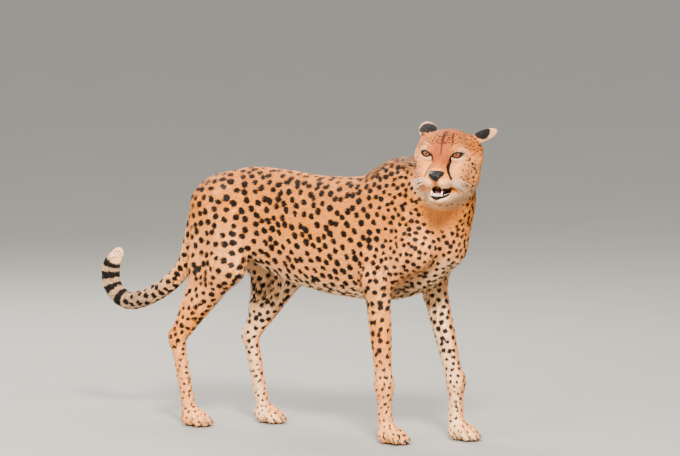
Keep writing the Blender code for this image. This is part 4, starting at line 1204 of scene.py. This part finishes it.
def skin_material(colours):
    """The skin under the coat, coloured as the coat is, with fine short fur as bump; black and damp on the lips,
    lids and soles, and dark red inside the mouth."""
    paint = Paint("skin", Specular_IOR_Level=0.35)
    fine = paint.noise(0.0022, 3.0, 0.6)
    colour = coat_colour(paint, colours, fine * 0.6 + 0.15, fine)
    bare = paint.mask("bare")
    inside = paint.mix(fine.between(0.3, 0.7), linear(40, 14, 18), linear(84, 30, 34))
    leather = paint.mix(fine.between(0.3, 0.7), linear(16, 13, 14), linear(34, 28, 30))
    leather = paint.mix(paint.mask("mouth"), leather, inside)
    paint.feed("Base Color", paint.mix(bare, colour, leather))
    paint.feed("Roughness", 0.78 - bare * (0.32 + 0.12 * fine))
    paint.bump(fine, 0.0009, 0.6)
    return paint.material

def eye_material(face):
    """Eyeball: black pupil, iris with spokes that lightens inward, a dark ring round it, and a dull brown white,
    under a clear wet coat."""
    paint = Paint("eyeball", Roughness=0.25, Specular_IOR_Level=0.10, Coat_Weight=1.0, Coat_Roughness=0.02,
                  Coat_IOR=1.28)
    ring = paint.mask("ring")
    spoke = paint.node("ShaderNodeCombineXYZ", {}, {
        "X": paint.mask("spoke_x") * 9.0, "Y": paint.mask("spoke_y") * 9.0, "Z": ring * 1.5})
    fibres = paint.noise(1.0, 3.0, 0.65, spoke)
    dark = tuple(value * 0.35 for value in face.iris)
    iris = paint.mix(fibres.between(0.30, 0.72), dark, face.iris)
    glow = paint.mix((1 - ring.between(face.pupil, face.pupil + 0.22)) * 0.75, iris, face.iris_inner)
    rim = paint.mix(ring.between(0.50, 0.62), glow, linear(22, 12, 8))
    white = paint.mix(ring.between(0.66, 0.74), rim, linear(38, 25, 19))
    paint.feed("Base Color", paint.mix(1 - ring.between(face.pupil - 0.02, face.pupil + 0.02), white,
                                       linear(3, 2, 2)))
    return paint.material

def plain_material(name, light, dark, size, rough, depth=0.0002, **constants):
    """Two shades mixed by noise of the given size, with the noise as bump."""
    paint = Paint(name, **constants)
    grain = paint.noise(size, 3.0, 0.6)
    paint.feed("Base Color", paint.mix(grain.between(0.32, 0.68), dark, light))
    paint.feed("Roughness", rough + 0.18 * (grain - 0.5))
    paint.bump(grain, depth, 0.7)
    return paint.material

def nose_material():
    """Nose leather: black, pebbled by small cells, damp, and lightened to a bluish grey on top as a painted
    highlight.
    """
    paint = Paint("nose_leather", Specular_IOR_Level=0.20)
    cells = paint.node("ShaderNodeTexVoronoi", {}, {"Vector": paint.places(), "Scale": 1 / 0.0013},
                       "Distance")
    grain = paint.noise(0.004)
    # Painted highlight: the top of the nose is mixed toward a lighter bluish grey.
    colour = paint.mix(paint.mask("top"), linear(8, 7, 8), linear(24, 23, 29))
    paint.feed("Base Color", paint.mix(cells.between(0.0, 0.5) * 0.5, linear(4, 3, 4), colour))
    paint.feed("Roughness", 0.34 + 0.20 * grain)
    paint.bump(cells, 0.00035, 0.8)
    return paint.material

def worn_material(name, root, tip, rough, **constants):
    """A hard growth that goes from one colour at its root to another at its tip, with fine streaks."""
    paint = Paint(name, **constants)
    streak = paint.noise(0.0018, 3.0, 0.6)
    along = paint.mask("along") + 0.25 * (streak - 0.5)
    paint.feed("Base Color", paint.mix(along.between(0.05, 0.85), root, tip))
    paint.feed("Roughness", rough + 0.12 * streak)
    paint.bump(streak, 0.0001, 0.5)
    return paint.material

def floor_material(stage):
    """A plain pale floor with the faintest mottle."""
    paint = Paint("floor", Specular_IOR_Level=0.2)
    grain = paint.noise(0.35, 3.0)
    darker = tuple(value * 0.96 for value in stage.floor)
    paint.feed("Base Color", paint.mix(grain.between(0.3, 0.7), darker, stage.floor))
    paint.feed("Roughness", 0.80 + 0.08 * grain)
    return paint.material

# ---- Pieces ----

SKIN_STEP = 0.0114
FLESH = ("head", "lower_jaw", "ear_left", "ear_right", "neck", "trunk", "tail_root", "tail_middle",
         "tail_tip",
         "front_left_leg", "front_left_wrist", "front_left_paw", "front_right_leg", "front_right_wrist",
         "front_right_paw", "hind_left_leg", "hind_left_foot", "hind_left_paw", "hind_right_leg",
         "hind_right_foot",
         "hind_right_paw")
SPOTS = {}                         # the spots, kept for the coat once the skin has made them

def make_skin(colours):
    """The skin: the surface where the solids' field, less the coat's depth, is 0, in one piece with no seam."""
    low, high = (np.array(corner) for corner in CAD_BOX)
    points, quads = surface(skin_field, low - 0.02, high + 0.02, SKIN_STEP)
    place = points - SHIFT
    normals = point_normals(place, quads)
    SPOTS["rows"] = make_spots(place, quads, normals)
    marks = markings(place, normals, SPOTS["rows"])
    looks = {name: marks[:, i] for i, name in enumerate(MARKS)}
    make_object("skin", points, [quads], looks, skin_material(colours), FLESH)

def make_eye(name, side, node, material):
    """Eyeball: a ball by its angle from the gaze, raised by up to CORNEA over the iris."""
    rows, columns = 40, 48
    angle = np.linspace(0, pi, rows)[:, None] ** 1.0
    turn = 2 * pi * np.arange(columns)[None] / columns
    radius = EYE_RADIUS - 0.0001 + 0.0010 * (1 - ramp(angle, 0.30, 0.72))
    ahead = radius * np.cos(angle) + 0 * turn
    local = np.stack([ahead, radius * np.sin(angle) * np.cos(turn),
                      radius * np.sin(angle) * np.sin(turn)], -1)
    points = local.reshape(-1, 3) @ GAZE + (0, side * EYE_SIDE, 0)
    faces = grid_faces(rows, columns, wrap_columns=True)
    points, faces = closed_poles(points, rows, columns)
    ring = np.r_[0, np.repeat(angle[1:-1], columns), pi]
    looks = {"ring": ring, "spoke_x": np.r_[0, np.tile(np.cos(turn[0]), rows - 2), 0],
             "spoke_y": np.r_[0, np.tile(np.sin(turn[0]), rows - 2), 0]}
    make_object(name, to_model(points), faces, looks, material, [node])

def closed_poles(points, rows, columns):
    """A grid whose first and last rows are each one place: keeps one point of each, with fans round them."""
    inner = points[columns:-columns]
    made = np.vstack([points[:1], inner, points[-1:]])
    band = grid_faces(rows - 2, columns, wrap_columns=True) + 1
    side = np.arange(columns)
    after = (side + 1) % columns
    last = 1 + (rows - 3) * columns
    first_fan = np.stack([np.zeros(columns, int), 1 + side, 1 + after], -1)
    last_fan = np.stack([last + after, last + side, np.full(columns, len(made) - 1)], -1)
    return made, [np.concatenate([first_fan, last_fan]), band[:, ::-1]]

def make_lids(material):
    """The lids' black margins: a thin rope round each opening, laid on the eyeball, thicker above."""
    points, faces = [], []
    turn = np.linspace(0, 2 * pi, 97)[:-1]
    tall = np.where(np.sin(turn) >= 0, LID_TOP, LID_BOTTOM)
    bow = bow_of(tall)
    out = LID_WIDE * 1.02 * np.cos(turn)
    rise = np.sqrt(np.maximum(bow ** 2 - out ** 2, 0)) - (bow - tall)
    up = np.where(np.sin(turn) >= 0, 1, -1) * np.maximum(rise, 0) + 0.0002 * np.sin(turn)
    ahead = np.sqrt((EYE_RADIUS + 0.0016) ** 2 - out ** 2 - up ** 2)
    line = np.stack([ahead, out, up], -1)
    line = (line + np.roll(line, 1, 0) + np.roll(line, -1, 0)) / 3
    outward = unit(line)
    along = unit(np.roll(line, -1, 0) - np.roll(line, 1, 0))
    across = np.cross(along, outward)
    radius = (0.0007 + 0.0006 * ramp(up, -0.002, 0.004))[:, None, None]
    angle = 2 * pi * np.arange(8)[None, :, None] / 8
    rope = line[:, None] + radius * (outward[:, None] * np.cos(angle) + across[:, None] * np.sin(angle))
    for side in (1, -1):
        own = (rope.reshape(-1, 3) @ EYE_GAZE + (0, EYE_SIDE, 0)) * (1, side, 1)
        own_faces = grid_faces(len(line), 8, True, True)[:, ::side]
        faces.append(own_faces + sum(len(part) for part in points))
        points.append(own)
    make_object("lid_rims", to_model(np.vstack(points)), [np.vstack(faces)], {}, material)

def onto_skin(start, way, reach):
    """Places where lines from outside first come to the skin, in the head's axes: halving between the start and
    `reach` along the way."""
    near, far = np.zeros(len(start)), np.full(len(start), reach)
    way = unit(np.array(way, float))
    for _ in range(16):
        middle = (near + far) / 2
        outside = skin_field(to_model(start + way * middle[:, None])) > 0
        near, far = np.where(outside, middle, near), np.where(outside, far, middle)
    return start + way * near[:, None]

def make_nose(material):
    """Nose leather: a pad over the muzzle's tip, wide above and narrow where it meets the upper lip's cleft, with
    a comma-shaped nostril on each side. Across it runs a in -1..1 and down it b in 0..1; its thickness is
    (1 - a^6)(1 - b^6) of NOSE_THICK, less the nostrils' hollows."""
    rows, columns = 44, 61
    b, a = np.meshgrid(np.linspace(0, 1, rows), np.linspace(-1, 1, columns), indexing="ij")
    half = np.interp(b, (0, 0.12, 0.30, 0.50, 0.70, 0.85, 1),
                     (0.0180, 0.0216, 0.0212, 0.0165, 0.0110, 0.0066, 0.0028))
    out = (a * half).ravel()
    up = (-0.0372 - 0.0300 * b - 0.0022 * a ** 2 * (1 - b)).ravel()
    start = np.stack([np.full(out.shape, 0.115), out, up], -1)
    front = onto_skin(start, (-1, 0, 0), 0.09)
    flat_b, flat_a = b.ravel(), a.ravel()
    edge = (1 - np.abs(flat_a) ** 6) * (1 - np.abs(2 * flat_b - 1) ** 8)
    wing = 0.0016 * np.exp(-((np.abs(out) - 0.0150) / 0.0050) ** 2 - ((up + 0.0470) / 0.0070) ** 2)
    hole_line = to_line(np.stack([np.abs(out), up], -1), ((0.0060, -0.0525), (0.0098, -0.0505),
                                                          (0.0132, -0.0512)))
    hole = np.exp(-(hole_line / 0.0018) ** 2)
    groove = np.exp(-(out / 0.0010) ** 2) * ramp(-up, 0.046, 0.054)
    thick = 0.0034 * edge + wing - 0.0050 * hole - 0.0010 * groove - 0.0012 * (1 - edge)
    outward = unit(np.stack([np.full(out.shape, 0.9), out * 28, (up + 0.052) * 22], -1))
    outer = front + outward * thick[:, None]
    inner = front - (0.0060, 0, 0)
    faces = grid_faces(rows, columns)[:, ::-1]
    rim = np.concatenate([np.arange(columns), np.arange(1, rows) * columns + columns - 1,
                          (rows - 1) * columns + np.arange(columns - 2, -1, -1),
                          np.arange(rows - 2, 0, -1) * columns])
    after = np.roll(rim, -1)
    count = rows * columns
    walls = np.stack([rim, after, after + count, rim + count], -1)
    # The top of the nose, where the nose material paints a bluish highlight.
    looks = {"top": np.tile(ramp(up, -0.048, -0.040), 2)}
    points = to_model(np.vstack([outer, inner]))
    make_object("nose_pad", points, [np.vstack([faces, faces[:, ::-1] + count, walls])], looks, material,
                ["nose"])

def make_tongue(material):
    """Tongue: a flattened ball, grooved along its middle, wavy at its edges."""
    rows, columns = 36, 40
    angle = np.linspace(0, pi, rows)[:, None]
    turn = 2 * pi * np.arange(columns)[None] / columns
    ahead = np.cos(angle) + 0 * turn
    out, up = np.sin(angle) * np.cos(turn), np.sin(angle) * np.sin(turn)
    up = np.where(up > 0, up * (1 - 0.45 * np.exp(-(out / 0.16) ** 2)), up)
    local = np.stack([ahead * 0.030, out * 0.0122, up * 0.0072 + 0.0006 * np.sin(ahead * 9) * np.abs(out)], -1)
    points = local.reshape(-1, 3) @ JAW_TILT + (0.010, 0, -0.0945)
    points, faces = closed_poles(points, rows, columns)
    make_object("tongue_flesh", to_model(points), faces, {}, material, ["tongue"])

def hooked(base, aim, bend, length, radius, rows, point=0.12):
    """Middle lines and radii of claws or teeth: from `base` along `aim`, curving to `bend`, tapering as
    (1 - t)^0.7 to a fine tip."""
    t = np.linspace(0, 1, rows)
    base, aim, bend = (np.array(value, float) for value in (base, aim, bend))
    line = (base[:, None] + aim[:, None] * (t * length)[None, :, None]
            + bend[:, None] * (t * t * length)[None, :, None])
    line[:, 0] = line[:, 1] - (line[:, 2] - line[:, 1]) * 0.05
    return line, radius * np.maximum((1 - t) ** 0.7, point)[None].repeat(len(base), 0)

def make_teeth(material):
    """Lower and upper canines and the row of lower incisors, with the gum's line at their roots."""
    lines, radii = [], []
    lower = [((0.0425, side * 0.0130, -0.1050), (0.16, side * 0.06, 0.98), (-0.20, 0, 0.0))
             for side in (1, -1)]
    upper = [((0.0465, side * 0.0140, -0.0790), (0.10, 0, -1.0), (-0.18, 0, 0.0)) for side in (1, -1)]
    for rows, length, radius in ((lower, 0.0165, 0.0036), (upper, 0.0068, 0.0028)):
        line, size = hooked(*zip(*rows), length, radius, 10)
        lines.append(line)
        radii.append(size)
    fronts = [((0.0462 - 60 * place ** 2, place, -0.1045), (0.10, 0, 1.0), (0, 0, 0))
              for place in np.linspace(-0.0085, 0.0085, 6)]
    line, size = hooked(*zip(*fronts), 0.0072, 0.0021, 10, 0.60)
    lines.append(line)
    radii.append(size)
    backs = [((0.0270 - 0.0085 * step, side * (0.0165 + 0.0020 * step), -0.1030 + 0.0012 * step),
              (0, 0, 1.0), (-0.1, 0, 0))
             for step in range(3) for side in (1, -1)]
    line, size = hooked(*zip(*backs), 0.0042, 0.0026, 10, 0.3)
    lines.append(line)
    radii.append(size)
    points, three, four = rods(np.vstack(lines), np.vstack(radii), 10)
    along = np.tile(np.r_[0, np.repeat(np.linspace(0, 1, 8), 10), 1], len(points))
    make_object("teeth", to_model(points.reshape(-1, 3)), [three, four], {"along": along}, material)

def make_lower_lip(material):
    """The black lower lip and gum: a thick rope bent round the teeth, out along c in -1..1 by LIP_HALF c, and
    back by LIP_BACK c^2 with a rise of 0.004 c^4."""
    c = np.linspace(-1, 1, 25)
    line = np.stack([0.0475 - 0.046 * c ** 2, 0.0205 * c, -0.1085 + 0.004 * c ** 4], -1)[None]
    size = (0.0046 * np.maximum(1 - np.abs(c) ** 8, 0.15))[None]
    points, three, four = rods(line, size, 14)
    make_object("lower_lip", to_model(points.reshape(-1, 3)), [three, four], {}, material)

def make_claws(material):
    """Four blunt hooked claws on each paw, and a dew claw inside each wrist."""
    bases, aims = [], []
    for steps, joints, ahead in ((FORE_STEPS, fore_joints, 0.010), (HIND_STEPS, hind_joints, 0.012)):
        for side, step in steps:
            ankle = joints(step)[2]
            for reach, hand, radius in TOES:
                for toe in (hand, -hand):
                    bases.append((ankle[0] + ahead + reach + radius * 0.45, side * (ankle[1] + toe), 0.0150))
                    aims.append((0.95, 0.0, -0.12))
    for side, step in FORE_STEPS:
        wrist = fore_joints(step)[1]
        bases.append((wrist[0] + 0.006, side * (wrist[1] - 0.0170), wrist[2] - 0.045))
        aims.append((0.55, -side * 0.30, -0.75))
    bends = np.tile((0.0, 0.0, -0.42), (len(bases), 1))
    line, size = hooked(bases, aims, bends, 0.0145, 0.0031, 9)
    points, three, four = rods(line, size, 8)
    along = np.tile(np.r_[0, np.repeat(np.linspace(0, 1, 7), 8), 1], len(points))
    make_object("claws", points.reshape(-1, 3) + SHIFT, [three, four], {"along": along}, material)

def make_whiskers(material):
    """Whiskers in rows on the lip's pads, and a few over each eye: thin tapered rods that sweep out and back."""
    rng = np.random.default_rng(5)
    starts, ways = [], []
    for side in (1, -1):
        for row in range(3):
            for place in range(4):
                forward = 0.047 - 0.0075 * place - 0.002 * row
                starts.append((forward, side * 0.085, -0.0600 - 0.0062 * row))
                ways.append((0.30 - 0.16 * place, side * 0.95, -0.10 - 0.13 * row))
    start = np.array(starts)
    found = []
    for side in (1, -1):
        chosen = start[start[:, 1] * side > 0]
        found.append(onto_skin(chosen, (0, -side, 0), 0.080))
    brows = np.array([(0.060, side * (0.034 + 0.006 * i), 0.0215 + 0.001 * i) for side in (1, -1) for i in range(3)])
    found.append(onto_skin(brows, (-1, 0, 0), 0.09))
    base = np.vstack(found)
    aim = np.vstack([np.array(ways)[start[:, 1] > 0], np.array(ways)[start[:, 1] < 0],
                     [(0.55, 0.45 * np.sign(y), 0.75) for _, y, _ in brows]])
    aim = unit(aim + rng.normal(0, 0.06, aim.shape))
    length = (np.r_[np.full(len(starts), 0.048), np.full(len(brows), 0.022)]
              * rng.uniform(0.7, 1.05, len(base)))
    t = np.linspace(0, 1, 9)
    drop = np.array((-0.30, 0, -0.25))
    line = base[:, None] - aim[:, None] * 0.002 + length[:, None, None] * (
        aim[:, None] * t[None, :, None] + drop * (t * t)[None, :, None])
    size = np.broadcast_to(0.00026 * (1 - 0.75 * t), (len(base), 9))
    points, three, four = rods(line, size, 4)
    make_object("whiskers", to_model(points.reshape(-1, 3)), [three, four], {}, material)

# ---- Stage ----

AIM = (SHIFT[0] + 0.035, SHIFT[1], 0.541)  # what the camera looks at
CAMERA_HEADING = radians(33)       # round from straight on to the right side, toward the head
CAMERA_RISE = radians(5)
CAMERA_AWAY = 10.0
VIEW_WIDTH = 1.77                  # across the picture, at the animal
SENSOR = 36.0

def view_axes():
    """The camera's way back from the animal, and its right, each one long."""
    level = cos(CAMERA_RISE)
    back = np.array((sin(CAMERA_HEADING) * level, -cos(CAMERA_HEADING) * level, sin(CAMERA_RISE)))
    return back, np.array((cos(CAMERA_HEADING), sin(CAMERA_HEADING), 0))

def aimed(obj, place, target):
    """Sets an object at a place, looking at the target."""
    obj.location = Vector(place)
    obj.rotation_euler = (Vector(target) - Vector(place)).to_track_quat("-Z", "Y").to_euler()

def add_light(name, share, size, energy, colour):
    """A square soft light; `share` gives how far it stands back, right and up."""
    light = bpy.data.lights.new(name, "AREA")
    light.size = size
    light.energy = energy
    light.color = colour
    obj = bpy.data.objects.new(name, light)
    bpy.context.scene.collection.objects.link(obj)
    back, right = view_axes()
    aimed(obj, np.array(AIM) + back * share[0] + right * share[1] + np.array((0, 0, share[2])), AIM)

def make_stage(stage):
    """Camera, pale floor, an even pale sky and three soft lights."""
    back, _ = view_axes()
    camera = bpy.data.cameras.new("camera")
    camera.sensor_width = SENSOR
    camera.lens = SENSOR * CAMERA_AWAY / VIEW_WIDTH
    camera.clip_end = 200
    obj = bpy.data.objects.new("camera", camera)
    bpy.context.scene.collection.objects.link(obj)
    aimed(obj, np.array(AIM) + back * CAMERA_AWAY, AIM)
    bpy.context.scene.camera = obj
    mesh = bpy.data.meshes.new("floor")
    mesh.from_pydata([(x, y, 0) for x, y in ((-60, -60), (60, -60), (60, 60), (-60, 60))], [], [(0, 1, 2, 3)])
    mesh.materials.append(floor_material(stage))
    floor = bpy.data.objects.new("floor", mesh)
    bpy.context.scene.collection.objects.link(floor)
    world = bpy.data.worlds.new("sky")
    world.use_nodes = True
    sky = world.node_tree.nodes["Background"]
    sky.inputs["Color"].default_value = (*stage.sky, 1)
    sky.inputs["Strength"].default_value = stage.sky_strength
    bpy.context.scene.world = world
    add_light("key", (5.0, 0.4, 3.6), 1.2, stage.key, (1.0, 0.94, 0.84))
    add_light("fill", (3.4, -3.0, 1.4), 2.0, stage.key * 0.16, (1.0, 0.97, 0.92))
    add_light("rim", (-2.6, -1.4, 2.8), 2.0, stage.key * 0.22, (1.0, 0.96, 0.90))

# ---- Settings, operators and panel ----

def colour_setting(name, description, default):
    """A colour that the user may change."""
    return bpy.props.FloatVectorProperty(name=name, description=description, default=default, size=3,
                                         min=0, max=1,
                                         subtype="COLOR")

class CheetahCoatSettings(bpy.types.PropertyGroup):
    """Sizes and colours of the coat."""

    fullness: bpy.props.FloatProperty(
        name="Fullness", description="Share of the full number of tufts", default=1.0, min=0.05, max=1.0,
        subtype="FACTOR")
    length: bpy.props.FloatProperty(
        name="Length", description="Tuft length over the natural one", default=1.0, min=0.3, max=2.0)
    width: bpy.props.FloatProperty(
        name="Width", description="Half a tuft's width over its length", default=0.088, min=0.02, max=0.3)
    tan: colour_setting("Tan", "Ground colour of back and flanks", linear(243, 147, 38))
    # Orange also paints the shadow under the chin on the right of the neck.
    orange: colour_setting("Orange", "Forehead, shoulders and back", linear(156, 72, 28))
    cream: colour_setting("Cream", "Belly, chin, inner legs and under the eyes", linear(246, 198, 148))
    grey: colour_setting("Grey", "Mane and tail end", linear(74, 56, 50))
    pale_tip: colour_setting("Pale tips", "Tufts that are lighter than the rest", linear(252, 180, 96))
    brown: colour_setting("Brown", "Forehead stripes", linear(66, 24, 10))
    black: colour_setting("Black", "Spots, tear lines and tail rings", linear(15, 9, 9))

class CheetahFaceSettings(bpy.types.PropertyGroup):
    """Sizes and colours of the face."""

    iris: colour_setting("Iris", "Outer colour of the iris", linear(94, 46, 15))
    iris_inner: colour_setting("Iris inside", "Colour of the iris next to the pupil", linear(134, 74, 26))
    pupil: bpy.props.FloatProperty(
        name="Pupil", description="Angle from the gaze to the pupil's edge", default=0.20, min=0.05, max=0.5,
        subtype="ANGLE", unit="ROTATION")
    tongue: colour_setting("Tongue", "Light shade of the tongue", linear(120, 52, 50))
    tooth: colour_setting("Tooth", "Teeth at their tips", linear(244, 236, 218))

class CheetahStageSettings(bpy.types.PropertyGroup):
    """Floor, sky and light."""

    floor: colour_setting("Floor", "Colour of the floor", linear(128, 126, 121))
    sky: colour_setting("Sky", "Colour of the even light from all sides", linear(240, 238, 234))
    sky_strength: bpy.props.FloatProperty(
        name="Sky strength", description="Strength of the even light", default=1.6, min=0, max=5)
    key: bpy.props.FloatProperty(
        name="Key light", description="Power of the main light", default=1850, min=0, max=9000, unit="POWER")

class CHEETAH_OT_stage(bpy.types.Operator):
    """Add the camera, the floor and the lights"""

    bl_idname = "cheetah.stage"
    bl_label = "Stage"

    def execute(self, context):
        make_stage(context.scene.cheetah_stage)
        return {"FINISHED"}

class CHEETAH_OT_skin(bpy.types.Operator):
    """Make the skin with its markings"""

    bl_idname = "cheetah.skin"
    bl_label = "Skin"

    def execute(self, context):
        make_skin(context.scene.cheetah_coat)
        return {"FINISHED"}

class CHEETAH_OT_eyes(bpy.types.Operator):
    """Make the eyeballs and the lids' margins"""

    bl_idname = "cheetah.eyes"
    bl_label = "Eyes and Lids"

    def execute(self, context):
        ball = eye_material(context.scene.cheetah_face)
        make_eye("eyeball_left", 1, "eye_left", ball)
        make_eye("eyeball_right", -1, "eye_right", ball)
        rim = plain_material("lid_margin", linear(12, 8, 9), linear(5, 4, 4), 0.003, 0.45,
                             Specular_IOR_Level=0.15)
        make_lids(rim)
        return {"FINISHED"}

class CHEETAH_OT_nose(bpy.types.Operator):
    """Make the nose leather"""

    bl_idname = "cheetah.nose"
    bl_label = "Nose"

    def execute(self, context):
        make_nose(nose_material())
        return {"FINISHED"}

class CHEETAH_OT_mouth(bpy.types.Operator):
    """Make the tongue and the teeth"""

    bl_idname = "cheetah.mouth"
    bl_label = "Tongue and Teeth"

    def execute(self, context):
        face = context.scene.cheetah_face
        dark = tuple(value * 0.5 for value in face.tongue)
        make_tongue(plain_material("tongue_surface", face.tongue, dark, 0.0016, 0.42, 0.0004,
                                   Coat_Weight=0.3))
        make_lower_lip(plain_material("lip_leather", linear(16, 10, 14), linear(6, 4, 6), 0.0012, 0.50,
                                      0.0004,
                                        Specular_IOR_Level=0.12))
        make_teeth(worn_material("tooth_enamel", linear(196, 150, 120), face.tooth, 0.22, Coat_Weight=0.4))
        return {"FINISHED"}

class CHEETAH_OT_claws(bpy.types.Operator):
    """Make the claws"""

    bl_idname = "cheetah.claws"
    bl_label = "Claws"

    def execute(self, context):
        make_claws(worn_material("claw_horn", linear(30, 22, 18), linear(120, 100, 82), 0.34))
        return {"FINISHED"}

class CHEETAH_OT_whiskers(bpy.types.Operator):
    """Make the whiskers"""

    bl_idname = "cheetah.whiskers"
    bl_label = "Whiskers"

    def execute(self, context):
        make_whiskers(plain_material("whisker_hair", linear(250, 246, 238), linear(214, 206, 194), 0.01,
                                     0.45))
        return {"FINISHED"}

class CHEETAH_OT_coat(bpy.types.Operator):
    """Cover the skin with tufts"""

    bl_idname = "cheetah.coat"
    bl_label = "Coat"

    def execute(self, context):
        settings = context.scene.cheetah_coat
        points, quads, normals = skin_arrays()
        lie, part = lie_of(points, normals)
        local = turned(points, EYES, HEAD)
        marks = markings(points, normals, SPOTS["rows"])
        pad = (local[:, 0] > 0.055) & (np.abs(local[:, 1]) < nose_half(local[:, 2])) & (local[:, 2] < -0.036)
        bare = np.maximum(marks[:, MARKS.index("bare")], pad)
        chosen = piece_of(points, part)
        material = coat_material(settings)
        for piece, count, rings in COAT_PIECES:
            make_coat(piece, count, rings, chosen, (points, quads, normals, lie, bare, local),
                      SPOTS["rows"], settings,
                      material)
        return {"FINISHED"}

class CHEETAH_PT_panel(bpy.types.Panel):
    """Lists the pieces and their settings"""

    bl_idname = "CHEETAH_PT_panel"
    bl_label = "Cheetah"
    bl_space_type = "VIEW_3D"
    bl_region_type = "UI"
    bl_category = "Cheetah"

    def draw(self, context):
        for operator in OPERATORS:
            self.layout.operator(operator.bl_idname)
        for name, group in SETTINGS.items():
            box = self.layout.box()
            for key in group.__annotations__:
                box.prop(getattr(context.scene, name), key)

OPERATORS = (CHEETAH_OT_stage, CHEETAH_OT_skin, CHEETAH_OT_eyes, CHEETAH_OT_nose, CHEETAH_OT_mouth,
             CHEETAH_OT_claws,
             CHEETAH_OT_whiskers, CHEETAH_OT_coat)
SETTINGS = {"cheetah_coat": CheetahCoatSettings, "cheetah_face": CheetahFaceSettings,
            "cheetah_stage": CheetahStageSettings}

def register():
    """Adds the settings, the operators and the panel to Blender."""
    for name, group in SETTINGS.items():
        bpy.utils.register_class(group)
        setattr(bpy.types.Scene, name, bpy.props.PointerProperty(type=group))
    for kind in (*OPERATORS, CHEETAH_PT_panel):
        bpy.utils.register_class(kind)

def unregister():
    """Removes them again."""
    for kind in (CHEETAH_PT_panel, *reversed(OPERATORS)):
        bpy.utils.unregister_class(kind)
    for name, group in SETTINGS.items():
        delattr(bpy.types.Scene, name)
        bpy.utils.unregister_class(group)

def main():
    """Makes every piece in turn."""
    register()
    bpy.ops.cheetah.stage()
    bpy.ops.cheetah.skin()
    bpy.ops.cheetah.eyes()
    bpy.ops.cheetah.nose()
    bpy.ops.cheetah.mouth()
    bpy.ops.cheetah.claws()
    bpy.ops.cheetah.whiskers()
    bpy.ops.cheetah.coat()

if __name__ == "__main__":
    main()
